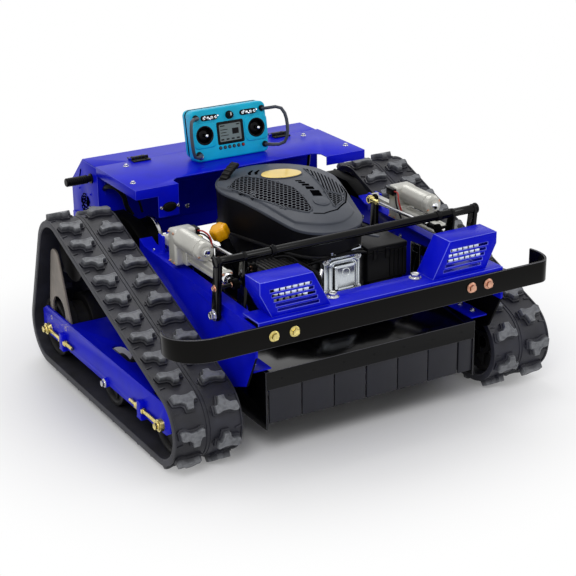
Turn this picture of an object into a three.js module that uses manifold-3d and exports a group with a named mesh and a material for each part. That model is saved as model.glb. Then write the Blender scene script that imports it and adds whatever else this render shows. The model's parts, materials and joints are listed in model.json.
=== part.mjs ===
// Remote control slope mower
// A low tracked mower: two rubber belts on triangular track frames, a lifting cutting deck that
// carries a vertical shaft engine, electric actuators, a rear equipment box and a hand controller.
// Millimetres, +Z up. X runs across the machine, the front faces -Y, the belts stand on z = 0.

import * as THREE from "three";
import { mergeVertices } from "three/addons/utils/BufferGeometryUtils.js";
import Module from "manifold-3d";

const wasm = await Module();
wasm.setup();

// Fits and facets
const clearance = 0.3;
const overrun = 5;
const fineSides = 20;
const wheelSides = 16;
const rodSides = 10;
const hexSides = 6;
const arcSteps = 5;
const linkSteps = 2;

// The cutter's reach sets the widths of the deck, the chassis and the lift
const bladeRadius = 275;
const bladeTipGap = 27;
const deckSheet = 4;
const deckHalfWidth = bladeRadius + bladeTipGap + deckSheet;
const deckSideGap = 44;
const sideInnerX = deckHalfWidth + deckSideGap;
const sideThickness = 6;
const liftArmInset = 54;
const liftArmThickness = 8;
const liftInnerArmX = sideInnerX - liftArmInset;
const liftArmGap = 8;
const liftOuterArmX = sideInnerX + sideThickness + liftArmGap;
const deckBracketGap = 1.5;
const deckBracketThickness = 5;
const deckBracketX = liftInnerArmX - deckBracketGap - deckBracketThickness;
const rockerThickness = 8;
const rockerX = deckBracketX - deckBracketGap - rockerThickness;
const stayEyeWidth = 12;
const stayEyeGap = 6;
const stayRodX = rockerX - stayEyeGap - stayEyeWidth / 2;

// Rubber belts and the wheels inside them
const beltWidth = 180;
const beltSideGap = 14;
const carcassThickness = 14;
const lugHeight = 20;
const lugRoot = 4;
const lugWidth = 62;
const lugLength = 27;
const lugRowOffset = 49;
const lugsPerRow = 29;
const driveLugCount = 36;
const driveLugHeight = 18;
const driveLugWidth = 30;
const driveLugLength = 18;
const trackCentreX = sideInnerX + sideThickness + beltSideGap + beltWidth / 2;
const idlerRadius = 80.7;
const idlerSideGap = 30;
const idlerHalfWidth = beltWidth / 2 - idlerSideGap;
const guideGrooveHalfWidth = 20;
const guideGrooveDepth = 20.5;
const frontIdlerY = -349;
const rearIdlerY = 344;
const idlerZ = idlerRadius + clearance + carcassThickness + lugHeight;
const midRollerRadius = 65;
const midRollerY = -30;
const midRollerZ = midRollerRadius + clearance + carcassThickness + lugHeight;
const axleRadius = 10;
const axleRunningGap = 0.6;

// Drive sprocket and drive motor
const sprocketRadius = 77.7;
const sprocketY = 262.7;
const sprocketZ = 350;
const sprocketHalfWidth = 35;
const sprocketDiscThickness = 8;
const sprocketHubRadius = 30;
const sprocketBarCircle = 66;
const sprocketBarRadius = 6;
const sprocketBarCount = 9;
const driveShaftRadius = 12;
const motorRadius = 55;
const motorLength = 88;
const motorCapRadius = 59;
const motorCapLength = 12;

// Track beam: an upside-down channel that holds the wheels
const beamWebThickness = 6;
const beamOuterX = trackCentreX + beltWidth / 2 - beltSideGap;
const beamBottomZ = 95;
const beamTopZ = 175;
const beamFrontY = -395;
const beamRearY = 385;
const beamEndRise = 15;
const beamEndSlope = 25;
const beamFlangeFrontY = -285;
const beamFlangeRearY = 200;
const beamHoleOffset = 27;
const beamHoleX = trackCentreX + beamHoleOffset;
const beamHoleY = -48;
const beamHoleRadius = 17;
const beamHoleHalfLength = 46;
const axleNutRadius = 14;
const axleNutHeight = 7;
const tensionEyeRadius = 16;
const tensionEyeReach = 11;
const tensionNutRadius = 8;
const tensionRodRadius = 5;
const tensionRodLength = 165;
const tensionTabInset = 109;
const tensionTabThickness = 6;
const tensionTabHalfHeight = 20;

// Guard plate beside each sprocket
const guardThickness = 5.5;
const guardBottomZ = 135;
const guardTopZ = 357;
const guardFrontY = 205;
const guardRearY = 345;
const guardTopY = 295;
const guardTopRadius = 26;
const guardFootHeight = 35;
const guardArchRadius = 43;
const guardArchY = 285;
const guardArchZ = 182;

// Chassis side plates
const sideFrontY = -489;
const sideFrontLowZ = 300;
const sideFrontTopZ = 372;
const sideTopMidY = 100;
const sideTopMidZ = 392;
const sideStepY = 190;
const sideHighZ = 430;
const sideHighRearY = 395;
const sideLipZ = 356;
const sideRearY = 572;
const sideRearLowZ = 300;
const sideSkirtFrontY = -200;
const sideSkirtZ = 112;
const sideNotchY = -440;
const sideNotchZ = 206;
const sideSkirtRearY = 310;
const sideFlangeWidth = 30;
const sideFlangeThickness = 4;
const sideFlangeFrontY = -420;
const sideFlangeRearY = 300;

// Front crossmember, bumper and lamps
const crossThickness = 4;
const crossTopZ = 385;
const crossBottomZ = 320;
const crossRearY = -418;
const shelfBoltY = -443;
const boltHeadRadius = 10;
const boltHeadHeight = 7;
const bumperFrontY = -500;
const bumperThickness = 6;
const bumperHeight = 58;
const bumperBottomZ = 319;
const bumperReach = 16;
const bumperStraightHalf = trackCentreX + bumperReach;
const bumperCurlRadius = 72;
const bumperCurlTurn = THREE.MathUtils.degToRad(148);
const bumperBoltInset = 43;
const bumperBoltSpacing = 53;
const bumperOuterBoltX = sideInnerX - bumperBoltInset;
const bumperBoltXs = [bumperOuterBoltX, bumperOuterBoltX - bumperBoltSpacing];
const lampHousingFrontY = -480;
const lampHousingRearY = -410;
const lampHousingWall = 3;
const lampHousingInset = 13;
const lampHousingTopWidth = 142;
const lampHousingOuterLean = 31;
const lampHousingInnerLean = 49;
const lampHousingTopOuterX = sideInnerX - lampHousingInset;
const lampHousingBottomOuterX = lampHousingTopOuterX - lampHousingOuterLean;
const lampHousingTopInnerX = lampHousingTopOuterX - lampHousingTopWidth;
const lampHousingBottomInnerX = lampHousingTopInnerX - lampHousingInnerLean;
const shelfBoltGap = 27;
const shelfBoltX = lampHousingBottomInnerX - shelfBoltGap;
const lampHousingKinkZ = 446;
const lampHousingTopZ = 476;
const lampSlotCount = 5;
const lampSlotHeight = 7;
const lampSlotPitch = 12.5;
const lampSlotBottomZ = 397;
const lampSlotInset = 32;
const lampSlotInnerX = lampHousingBottomInnerX + lampSlotInset;
const lampSlotLength = 112;
const lampSlotSlant = 5;
const lampWidth = 104;
const lampHeight = 42;
const lampDepth = 24;
const lampBottomZ = 409;
const lampInsets = { left: 85, right: 97 };

// Deck lift: one swinging frame in front and two rockers behind, tied by stay rods
const liftPivotY = -321;
const liftPivotZ = 351;
const liftPivotRadius = 8;
const liftPivotGap = 0.5;
const liftTubeY = -338;
const liftTubeZ = 490;
const liftTubeRadius = 11;
const liftArmTopRadius = 13;
const liftArmFootRadius = 17;
const hornLength = 130;
const hornEndRadius = 12;
const hornPinRadius = 5;
const actuatorPinY = -330;
const actuatorPinZ = 422;
const actuatorPinRadius = 5;
const stayPinY = -325;
const stayPinZ = 451;
const stayPinRadius = 4;
const stayRodRadius = 4.5;
const stayEyeRadius = 10;
const stayRodSpan = 314;
const stayRodDrop = 10;
const pivotHeadRadius = 13;
const pivotHeadHeight = 6;

// Electric actuators
const actuatorArmGap = 16;
const actuatorX = liftInnerArmX + liftArmThickness + actuatorArmGap;
const actuatorPivotY = 45;
const actuatorPivotRadius = 6;
const actuatorLugHalfWidth = 8;
const actuatorLugHalfHeight = 12;
const actuatorGearboxHalfWidth = 22;
const actuatorGearboxFrontY = -20;
const actuatorGearboxRearY = 25;
const actuatorGearboxBottomZ = 396;
const actuatorGearboxTopZ = 490;
const actuatorMotorRadius = 26;
const actuatorMotorZ = 470;
const actuatorMotorFrontY = -240;
const actuatorMotorCapRadius = 20;
const actuatorMotorCapLength = 8;
const actuatorTubeRadius = 15;
const actuatorTubeFrontY = -290;
const actuatorBoreDepth = 225;
const actuatorRodRadius = 8;
const actuatorRodGap = 0.5;
const actuatorRodEndY = -95;
const actuatorEyeRadius = 13;
const actuatorEyeGap = 2;
const actuatorEarThickness = 5.5;
const actuatorEarHalfLength = 14;

// Cutting deck
const deckFrontY = -445;
const engineAxisY = 20;
const bladeRearGap = 13;
const deckRearY = engineAxisY + bladeRadius + bladeRearGap + deckSheet;
const deckBottomZ = 79;
const deckLipBottomZ = 183;
const deckLipTopZ = 231;
const deckTopZ = 240;
const deckHoodRearY = -330;
const deckRearWallZ = 110;
const deckShaftHoleRadius = 45;
const deckBracketHalfLength = 26;
const deckBracketCover = 16;
const deckSlotTravel = 10;
const deckSlotDrop = 2;
const skirtSideGap = 5;
const skirtLeftX = deckSheet + skirtSideGap - deckHalfWidth;
const skirtRightX = deckHalfWidth - deckSheet - clearance;
const skirtBottomZ = 93;
const skirtTopZ = 216;
const skirtThickness = 6;
const skirtStripWidth = 92.5;
const skirtSlit = 2.5;
const skirtSlitTopZ = 200;

// Engine with a vertical crankshaft, its rear end close in front of the shelf
const shelfCentreFrontY = 197;
const crankcaseHalfWidth = 112;
const crankcaseFrontY = -150;
const crankcaseRearY = 175;
const crankcaseTopZ = 320;
const cylinderLeftX = -50;
const cylinderRightX = 70;
const cylinderFrontY = -275;
const cylinderBottomZ = 306;
const cylinderTopZ = 412;
const finReach = 16;
const finThickness = 3;
const finCount = 5;
const finFrontY = -262;
const finRearY = -165;
const shroudBaseThickness = 7;
const coverBottomZ = 424;
const coverWall = 4;
const coverSideGap = 133;
const coverRearRadius = liftInnerArmX - coverSideGap;
const coverRearGap = 9;
const coverRearY = shelfCentreFrontY - coverRearGap - coverRearRadius;
const flywheelRimInset = 25;
const flywheelHousingRadius = coverRearRadius - flywheelRimInset;
const coverNoseRadius = 108;
const coverNoseY = -190;
const coverTopZ = 546;
const coverNoseTopZ = 501;
const coverSteps = 8;
const coverShoulderShares = [
  { inset: 0, rise: 0 },
  { inset: 0.02, rise: 0.8 },
  { inset: 0.06, rise: 0.85 },
  { inset: 0.26, rise: 0.92 },
  { inset: 0.58, rise: 0.98 },
  { inset: 0.86, rise: 1 },
];
const valveCoverLeftX = -47;
const valveCoverRightX = 66;
const valveCoverBottomZ = 311;
const valveCoverTopZ = 415;
const valveCoverDepth = 25;
const valveCoverRim = 10;
const valveCoverFlange = 5;
const valveCoverCorner = 14;
const airBoxGap = 88;
const airBoxRightX = liftInnerArmX - airBoxGap;
const airBoxFrontY = -280;
const airBoxRearY = -150;
const airBoxBottomZ = 322;
const airBoxTopZ = 416;
const airBoxCorner = 12;
const mufflerGap = 100;
const mufflerLeftX = mufflerGap - liftInnerArmX;
const mufflerFrontY = -276;
const mufflerRearY = -176;
const mufflerBottomZ = 312;
const mufflerTopZ = 404;
const mufflerCorner = 20;
const fillerFootX = -124;
const fillerFootZ = 290;
const fillerY = -14;
const fillerCoverGap = 24;
const fillerTopX = -coverRearRadius - fillerCoverGap;
const fillerTopZ = 420;
const fillerRadius = 14;
const oilCapRadius = 26;
const oilCapHeight = 34;
const oilCapFlutes = 8;
const oilCapFluteRadius = 5;
const gripSideInset = 75;
const gripRearInset = 75;
const gripCentreX = gripSideInset - coverRearRadius;
const gripCentreY = coverRearY + coverRearRadius - gripRearInset;
const gripLength = 66;
const gripWidth = 24;
const gripTopZ = 562;
const gripSink = 60;
const gripTurn = THREE.MathUtils.degToRad(40);
const crankRadius = 12.5;
const crankCollarRadius = 34;
const crankCollarHeight = 14;
const crankBoltRadius = 14;
const crankBoltHeight = 9;
const bladeHalfWidth = 30;
const bladeThickness = 6;
const bladeBottomZ = 106;
const bladeLiftHeight = 12;
const bladeLiftLength = 70;

// Rear equipment box, its lid and the shelf in front of it
const boxFrontY = 400;
const boxRearY = 583;
const boxBottomZ = 341;
const boxSheet = 3;
const boxTopZ = 521.7;
const boxChamferY = 497;
const boxChamferZ = 440;
const lidSheet = 3;
const hingeX = 222;
const hingeHalfLength = 26;
const hingeRadius = 4.5;
const hingeLeafLength = 16;
const batteryLeftX = -110;
const batteryWidth = 197;
const batteryDepth = 128;
const batteryHeight = 122;
const batteryFrontGap = 14;
const ventY = 489;
const ventZ = 396;
const ventRadius = 32;
const ventSlotCount = 5;
const ventSlotHeight = 5;
const sideGripRadius = 9;
const sideGripEndRadius = 12;
const sideGripLength = 76;
const sideGripY = 440;
const sideGripZ = 484;
const shelfTopZ = 528;
const shelfSheet = 3;
const shelfSideReach = 2;
const shelfHalfWidth = sideInnerX + shelfSideReach;
const shelfWingWidth = 124;
const shelfWingX = shelfHalfWidth - shelfWingWidth;
const shelfWingFrontY = 147;
const shelfWingCurve = 18;
const shelfFlangeBottomZ = 502;
const shelfPanelBottomZ = 443;
const shelfPanelWidth = 60;
const shelfPanelOuterX = shelfWingX + shelfPanelWidth;
const shelfRearFlangeZ = 446;
const shelfRearFlangeInset = 22;
const shelfRearFlangeX = shelfHalfWidth - shelfRearFlangeInset;
const shelfLegFrontY = 330;
const shelfLegBottomZ = 400;
const shelfLegThickness = 4;

// Hand controller standing on the shelf
const remoteCentreX = 6;
const remoteFrontY = 278;
const remoteWidth = 230;
const remoteHeight = 142;
const remoteDepth = 57;
const remoteFrontDepth = 38;
const remoteCorner = 16;
const remoteLean = THREE.MathUtils.degToRad(-10);
const screenWidth = 77;
const screenHeight = 57;
const screenBottomZ = 42;
const screenThickness = 3;
const gimbalX = 80;
const gimbalZ = 72;
const gimbalRadius = 24;
const gimbalDepth = 20;
const gimbalRingRadius = 17.5;
const gimbalRingWall = 4;
const gimbalRingThickness = 5;
const gimbalPinRadius = 1.5;
const gimbalAxisDepth = 9;
const stickHubRadius = 6;
const stickRadius = 2.4;
const stickTipRadius = 4.5;
const stickLength = 26;
const stickTipLength = 9;
const knobZ = 118;
const knobRadius = 11;
const knobHeight = 13;
const handleRadius = 5;
const handleReachX = 30;
const handleReachY = 56;
const handleLowZ = 22;
const handleHighZ = 122;
const handleInset = 12;
const handleSteps = 14;
const handleBend = 20;

// The middle of the overall length is the origin
const bumperBoltFrontY = bumperFrontY - boltHeadHeight;
const centreY = (boxRearY + bumperBoltFrontY) / 2;

// Paints and finishes
function finish(color, roughness, metalness) {
  return new THREE.MeshStandardMaterial({ color, roughness, metalness });
}

const paint = {
  blue: finish(0x1212aa, 0.35, 0.1),
  black: finish(0x0c0c0e, 0.25, 0.2),
  rubber: finish(0x37373e, 0.85, 0),
  wheel: finish(0x202024, 0.6, 0.1),
  steel: finish(0x9a9a9c, 0.35, 0.9),
  guard: finish(0x7d7670, 0.55, 0.5),
  zinc: finish(0x8fa6b4, 0.3, 0.9),
  castGrey: finish(0xa5a59e, 0.55, 0.3),
  coverPlastic: finish(0x35363a, 0.7, 0),
  darkPlastic: finish(0x17171a, 0.6, 0),
  yellow: finish(0xf5a514, 0.45, 0),
  cyan: finish(0x0aa5cd, 0.35, 0),
  screen: finish(0x2c3a3c, 0.2, 0),
  lens: finish(0xdfe6f2, 0.15, 0.1),
  battery: finish(0x222226, 0.6, 0),
};

// Solids from three.js shapes
const axisX = new THREE.Vector3(1, 0, 0);
const axisY = new THREE.Vector3(0, 1, 0);
const axisZ = new THREE.Vector3(0, 0, 1);

function point(x, y, z) {
  return new THREE.Vector3(x, y, z);
}

function solidFrom(geometry) {
  geometry.deleteAttribute("normal");
  geometry.deleteAttribute("uv");
  const merged = mergeVertices(geometry);
  const corners = merged.index.array;
  const kept = [];
  for (let i = 0; i < corners.length; i += 3) {
    const [a, b, c] = [corners[i], corners[i + 1], corners[i + 2]];
    if (a !== b && b !== c && c !== a) {
      kept.push(a, b, c);
    }
  }
  const mesh = new wasm.Mesh({
    numProp: 3,
    vertProperties: merged.attributes.position.array,
    triVerts: new Uint32Array(kept),
  });
  return new wasm.Manifold(mesh);
}

function join(...pieces) {
  return pieces.flat().reduce((whole, piece) => whole.add(piece));
}

function cut(solid, ...tools) {
  return tools.flat().reduce((left, tool) => left.subtract(tool), solid);
}

// A block between two values on each axis, in either order
function block(xs, ys, zs) {
  const spans = [xs, ys, zs].map(([a, b]) => [Math.min(a, b), Math.max(a, b)]);
  const [width, depth, height] = spans.map(([low, high]) => high - low);
  const [x, y, z] = spans.map(([low, high]) => (low + high) / 2);
  const geometry = new THREE.BoxGeometry(width, depth, height);
  geometry.translate(x, y, z);
  return solidFrom(geometry);
}

// A round bar from one point to another
function rod(start, end, radius, sides = rodSides, endRadius = radius) {
  const along = end.clone().sub(start);
  const geometry = new THREE.CylinderGeometry(endRadius, radius, along.length(), sides);
  const turn = new THREE.Quaternion().setFromUnitVectors(axisY, along.clone().normalize());
  geometry.applyQuaternion(turn);
  geometry.translate(...start.clone().lerp(end, 1 / 2).toArray());
  return solidFrom(geometry);
}

// A round bar across the machine, between two distances from its middle on one side
function crossRod(side, fromX, toX, y, z, radius, sides = rodSides) {
  return rod(point(side * fromX, y, z), point(side * toX, y, z), radius, sides);
}

const planes = {
  yz: [axisY, axisZ, axisX],
  xz: [axisX, axisZ, axisY.clone().negate()],
  xy: [axisX, axisY, axisZ],
};

// A flat outline drawn on a plane and carried from one value to another across it
function prism(plane, outline, from, to, holes = []) {
  const shape = new THREE.Shape(outline.map(([a, b]) => new THREE.Vector2(a, b)));
  shape.holes = holes.map((hole) => new THREE.Path(hole.map(([a, b]) => new THREE.Vector2(a, b))));
  const geometry = new THREE.ExtrudeGeometry(shape, {
    depth: Math.abs(to - from),
    bevelEnabled: false,
  });
  const [u, v, w] = planes[plane];
  geometry.applyMatrix4(new THREE.Matrix4().makeBasis(u, v, w));
  const forward = w.x + w.y + w.z > 0;
  const start = forward ? Math.min(from, to) : Math.max(from, to);
  const shift = w.clone().multiplyScalar(forward ? start : -start);
  geometry.translate(shift.x, shift.y, shift.z);
  return solidFrom(geometry);
}

function pairs(points) {
  return points.map((p) => [p.x, p.y]);
}

// A circle as an outline
function circle(a, b, radius, sides = fineSides) {
  const path = new THREE.Path();
  path.absarc(a, b, radius, 0, 2 * Math.PI, false);
  return pairs(path.getSpacedPoints(sides).slice(0, sides));
}

// A taut band round circles in one plane, listed anticlockwise
function band(wheels, offset = 0) {
  const normals = wheels.map((wheel, i) => {
    const next = wheels[(i + 1) % wheels.length];
    const across = next.a - wheel.a;
    const up = next.b - wheel.b;
    const reach = Math.hypot(across, up);
    return Math.atan2(up, across) - Math.acos((wheel.radius - next.radius) / reach);
  });
  const path = new THREE.Path();
  wheels.forEach((wheel, i) => {
    const from = normals[(i + wheels.length - 1) % wheels.length];
    path.absarc(wheel.a, wheel.b, wheel.radius + offset, from, normals[i], false);
  });
  path.closePath();
  return { path, normals };
}

function bandOutline(wheels, offset = 0, steps = arcSteps) {
  const points = pairs(band(wheels, offset).path.getPoints(steps));
  return points.slice(0, -1);
}

// The same band as flats that lie outside its circles, so that round wheels turn inside it
function looseOutline(wheels, offset = 0, steps = arcSteps) {
  const { normals } = band(wheels, offset);
  const count = 2 * steps;
  return wheels.flatMap((wheel, i) => {
    const from = normals[(i + wheels.length - 1) % wheels.length];
    const span = (normals[i] - from + 4 * Math.PI) % (2 * Math.PI);
    const step = span / count;
    const radius = (wheel.radius + offset) / Math.cos(step / 2);
    return Array.from({ length: count }, (_, k) => {
      const turn = from + (k + 1 / 2) * step;
      return [wheel.a + radius * Math.cos(turn), wheel.b + radius * Math.sin(turn)];
    });
  });
}

// A polygon moved inwards by a wall, corners kept sharp
function inset(outline, wall) {
  const count = outline.length;
  const turning = outline.reduce((sum, [a, b], i) => {
    const [c, d] = outline[(i + 1) % count];
    return sum + a * d - b * c;
  }, 0);
  const inward = Math.sign(turning) * wall;
  const edges = outline.map(([a, b], i) => {
    const [c, d] = outline[(i + 1) % count];
    const length = Math.hypot(c - a, d - b);
    const [ua, ub] = [(c - a) / length, (d - b) / length];
    return { a: a - ub * inward, b: b + ua * inward, ua, ub };
  });
  return edges.map((edge, i) => {
    const before = edges[(i + count - 1) % count];
    const across = before.ua * edge.ub - before.ub * edge.ua;
    const along = ((edge.a - before.a) * edge.ub - (edge.b - before.b) * edge.ua) / across;
    return [before.a + before.ua * along, before.b + before.ub * along];
  });
}

// A polygon with every corner rounded by the same reach
function softened(outline, reach, steps = 3) {
  return outline.flatMap(([a, b], i) => {
    const corner = new THREE.Vector2(a, b);
    const before = new THREE.Vector2(...outline[(i + outline.length - 1) % outline.length]);
    const after = new THREE.Vector2(...outline[(i + 1) % outline.length]);
    before.sub(corner);
    after.sub(corner);
    const near = Math.min(reach, before.length() / 2 - clearance, after.length() / 2 - clearance);
    const start = corner.clone().add(before.setLength(near));
    const end = corner.clone().add(after.setLength(near));
    return pairs(new THREE.QuadraticBezierCurve(start, corner, end).getPoints(steps));
  });
}

function rectangle(a, b, c, d) {
  return [[a, c], [b, c], [b, d], [a, d]];
}

// A turned ring about the X axis, from bore to rim, with its steps
function turned(profile, sides = wheelSides) {
  const points = [...profile, profile[0]].map(([radius, x]) => new THREE.Vector2(radius, x));
  const geometry = new THREE.LatheGeometry(points, sides);
  geometry.rotateZ(-Math.PI / 2);
  return solidFrom(geometry);
}

// A finished solid, turned or moved by a matrix
function carried(solid, matrix) {
  const { vertProperties, triVerts } = solid.getMesh();
  const geometry = new THREE.BufferGeometry();
  geometry.setAttribute("position", new THREE.BufferAttribute(new Float32Array(vertProperties), 3));
  geometry.setIndex(new THREE.BufferAttribute(new Uint32Array(triVerts), 1));
  return solidFrom(geometry.applyMatrix4(matrix));
}

const machine = new THREE.Group();
machine.position.y = -centreY;

// Hangs one finished solid in a group, under its name
function node(name, solid, material, parent = machine, place = point(0, 0, 0)) {
  const { vertProperties, triVerts } = solid.getMesh();
  const geometry = new THREE.BufferGeometry();
  geometry.setAttribute("position", new THREE.BufferAttribute(new Float32Array(vertProperties), 3));
  geometry.setIndex(new THREE.BufferAttribute(new Uint32Array(triVerts), 1));
  geometry.computeVertexNormals();
  const mesh = new THREE.Mesh(geometry, material);
  mesh.name = name;
  mesh.position.copy(place);
  parent.add(mesh);
  return mesh;
}

const sides = [
  { word: "left", side: -1 },
  { word: "right", side: 1 },
];

// The three wheels that the belt runs round, sprocket first
const beltWheels = [
  { a: sprocketY, b: sprocketZ, radius: sprocketRadius + clearance },
  { a: frontIdlerY, b: idlerZ, radius: idlerRadius + clearance },
  { a: rearIdlerY, b: idlerZ, radius: idlerRadius + clearance },
];

// One belt: a closed carcass, two staggered rows of lugs outside and one row of guides inside
function trackBelt(side) {
  const neutral = carcassThickness / 2;
  const { path } = band(beltWheels, neutral);
  const innerX = side * (trackCentreX - beltWidth / 2);
  const outerX = side * (trackCentreX + beltWidth / 2);
  const carcass = prism("yz", bandOutline(beltWheels, carcassThickness), innerX, outerX, [
    looseOutline(beltWheels),
  ]);
  const put = (outline, low, high, share, x) => {
    const shape = new THREE.Shape(outline.map(([a, b]) => new THREE.Vector2(a, b)));
    const geometry = new THREE.ExtrudeGeometry(shape, { depth: high - low, bevelEnabled: false });
    geometry.translate(0, 0, low);
    const along = path.getTangent(share % 1);
    const spot = path.getPoint(share % 1);
    const tangent = point(0, along.x, along.y);
    const normal = point(0, along.y, -along.x);
    geometry.applyMatrix4(new THREE.Matrix4().makeBasis(axisX.clone().negate(), tangent, normal));
    geometry.translate(x, spot.x, spot.y);
    return solidFrom(geometry);
  };
  const pad = (width, length) => rectangle(-width / 2, width / 2, -length / 2, length / 2);
  const lug = pad(lugWidth, lugLength);
  const guide = pad(driveLugWidth, driveLugLength);
  const pieces = [];
  for (let i = 0; i < lugsPerRow; i += 1) {
    const rows = [i / lugsPerRow, (i + 1 / 2) / lugsPerRow];
    rows.forEach((share, row) => {
      const x = side * (trackCentreX + (row === 0 ? lugRowOffset : -lugRowOffset));
      pieces.push(put(lug, neutral - lugRoot, neutral + lugHeight + overrun, share, x));
    });
  }
  const guideLow = -neutral - driveLugHeight;
  for (let i = 0; i < driveLugCount; i += 1) {
    const share = i / driveLugCount;
    pieces.push(put(guide, guideLow, lugRoot - neutral, share, side * trackCentreX));
  }
  const rough = join(carcass, pieces);
  const envelope = prism(
    "yz", bandOutline(beltWheels, carcassThickness + lugHeight), innerX, outerX,
  );
  return rough.intersect(envelope);
}

// A wheel with two rims and a groove for the belt's guides
function guidedWheel(radius) {
  const bore = axleRadius + axleRunningGap;
  const bottom = radius - guideGrooveDepth;
  return turned([
    [bore, -idlerHalfWidth], [radius, -idlerHalfWidth], [radius, -guideGrooveHalfWidth],
    [bottom, -guideGrooveHalfWidth], [bottom, guideGrooveHalfWidth],
    [radius, guideGrooveHalfWidth], [radius, idlerHalfWidth], [bore, idlerHalfWidth],
  ]);
}

// Two discs joined by bars that push the belt's guides
function sprocket() {
  const firstGuide = band(beltWheels).normals[beltWheels.length - 1];
  const inner = sprocketHalfWidth - sprocketDiscThickness;
  const discs = [-1, 1].map((end) => rod(
    point(end * inner, 0, 0), point(end * sprocketHalfWidth, 0, 0), sprocketRadius, fineSides,
  ));
  const hub = crossRod(1, -sprocketHalfWidth, sprocketHalfWidth, 0, 0, sprocketHubRadius, fineSides);
  const bars = [];
  for (let i = 0; i < sprocketBarCount; i += 1) {
    const turn = firstGuide + ((i + 1 / 2) * 2 * Math.PI) / sprocketBarCount;
    const y = sprocketBarCircle * Math.cos(turn);
    const z = sprocketBarCircle * Math.sin(turn);
    bars.push(crossRod(1, -inner - clearance, inner + clearance, y, z, sprocketBarRadius, hexSides));
  }
  const bore = crossRod(
    1, -sprocketHalfWidth - overrun, sprocketHalfWidth + overrun, 0, 0,
    driveShaftRadius + axleRunningGap, fineSides,
  );
  return cut(join(discs, hub, bars), bore);
}

function trackBeam(side) {
  const outer = side * beamOuterX;
  const outerWeb = side * (beamOuterX - beamWebThickness);
  const innerFace = sideInnerX + sideThickness + clearance;
  const inner = side * innerFace;
  const innerWeb = side * (innerFace + beamWebThickness);
  const low = beamBottomZ + beamEndRise;
  const high = beamTopZ - beamEndRise;
  const web = [
    [beamFrontY, low], [beamFrontY + beamEndSlope, beamBottomZ],
    [beamRearY - beamEndSlope, beamBottomZ], [beamRearY, low], [beamRearY, high],
    [beamRearY - beamEndSlope, beamTopZ], [beamFrontY + beamEndSlope, beamTopZ],
    [beamFrontY, high],
  ];
  const flange = block(
    [inner, outer], [beamFlangeFrontY, beamFlangeRearY], [beamTopZ - beamWebThickness, beamTopZ],
  );
  const hole = bandOutline([
    { a: side * beamHoleX, b: beamHoleY + beamHoleHalfLength, radius: beamHoleRadius },
    { a: side * beamHoleX, b: beamHoleY - beamHoleHalfLength, radius: beamHoleRadius },
  ], 0, linkSteps);
  const window = prism("xy", hole, beamTopZ - beamWebThickness - overrun, beamTopZ + overrun);
  const pieces = [
    prism("yz", web, outer, outerWeb),
    prism("yz", web, inner, innerWeb),
    cut(flange, window),
  ];
  const axles = [[frontIdlerY, idlerZ], [rearIdlerY, idlerZ], [midRollerY, midRollerZ]];
  axles.forEach(([y, z]) => {
    pieces.push(crossRod(side, innerFace, beamOuterX, y, z, axleRadius, rodSides));
  });
  const nutEnd = beamOuterX + axleNutHeight;
  const embed = beamWebThickness / 2;
  pieces.push(crossRod(side, beamOuterX - embed, nutEnd, midRollerY, midRollerZ, axleNutRadius, hexSides));
  [[frontIdlerY, 1], [rearIdlerY, -1]].forEach(([y, inward]) => {
    const eyeEnd = beamOuterX + tensionEyeReach;
    const rodX = side * (beamOuterX + tensionEyeReach / 2);
    const tabY = y + inward * tensionTabInset;
    const tabZs = [idlerZ - tensionTabHalfHeight, idlerZ + tensionTabHalfHeight];
    const tabYs = [tabY - tensionTabThickness / 2, tabY + tensionTabThickness / 2];
    const tail = point(rodX, y + inward * tensionRodLength, idlerZ);
    const nutStart = point(rodX, tabY + inward * tensionTabThickness, idlerZ);
    pieces.push(crossRod(side, beamOuterX - embed, eyeEnd, y, idlerZ, tensionEyeRadius, rodSides));
    pieces.push(rod(point(rodX, y, idlerZ), tail, tensionRodRadius, rodSides));
    pieces.push(block([side * (beamOuterX - embed), side * eyeEnd], tabYs, tabZs));
    pieces.push(rod(point(rodX, tabY, idlerZ), nutStart, tensionNutRadius, hexSides));
  });
  return join(pieces);
}

function guardPlate(side) {
  const face = beamOuterX - beamWebThickness - clearance;
  const shoulder = guardTopZ - guardTopRadius;
  const outline = [
    [guardFrontY, guardBottomZ], [guardRearY, guardBottomZ],
    [guardRearY, guardBottomZ + 2 * guardFootHeight],
    ...pairs(new THREE.Path().absarc(
      guardTopY, shoulder, guardTopRadius, Math.PI / 8, Math.PI * 7 / 8, false,
    ).getPoints(arcSteps)),
    [guardFrontY, guardBottomZ + guardFootHeight],
  ];
  const arch = circle(guardArchY, guardArchZ, guardArchRadius, wheelSides);
  return prism("yz", outline, side * face, side * (face - guardThickness), [arch]);
}

function driveMotor(side) {
  const face = sideInnerX - clearance;
  const shaftEnd = trackCentreX + sprocketHalfWidth;
  const drum = crossRod(side, face, face - motorLength, sprocketY, sprocketZ, motorRadius, fineSides);
  const cap = crossRod(
    side, face - motorLength, face - motorLength - motorCapLength, sprocketY, sprocketZ,
    motorCapRadius, fineSides,
  );
  const shaft = crossRod(side, face - overrun, shaftEnd, sprocketY, sprocketZ, driveShaftRadius, rodSides);
  return join(drum, cap, shaft);
}

// Height of a side plate's sloping top edge
function sideTopAt(y) {
  const share = (y - sideFrontY) / (sideTopMidY - sideFrontY);
  return sideFrontTopZ + share * (sideTopMidZ - sideFrontTopZ);
}

function pivotStud(side, plateFaceX, armNearX, armFarX, y, z) {
  const away = Math.sign(armFarX - armNearX);
  const headStart = armFarX + away * clearance;
  const headEnd = headStart + away * pivotHeadHeight;
  const root = plateFaceX - away * sideThickness / 2;
  return join(
    crossRod(side, root, headEnd, y, z, liftPivotRadius, rodSides),
    crossRod(side, headStart, headEnd, y, z, pivotHeadRadius, rodSides),
  );
}

const rearPivotY = liftPivotY + stayRodSpan;
const rearPivotZ = liftPivotZ - stayRodDrop;

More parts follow.
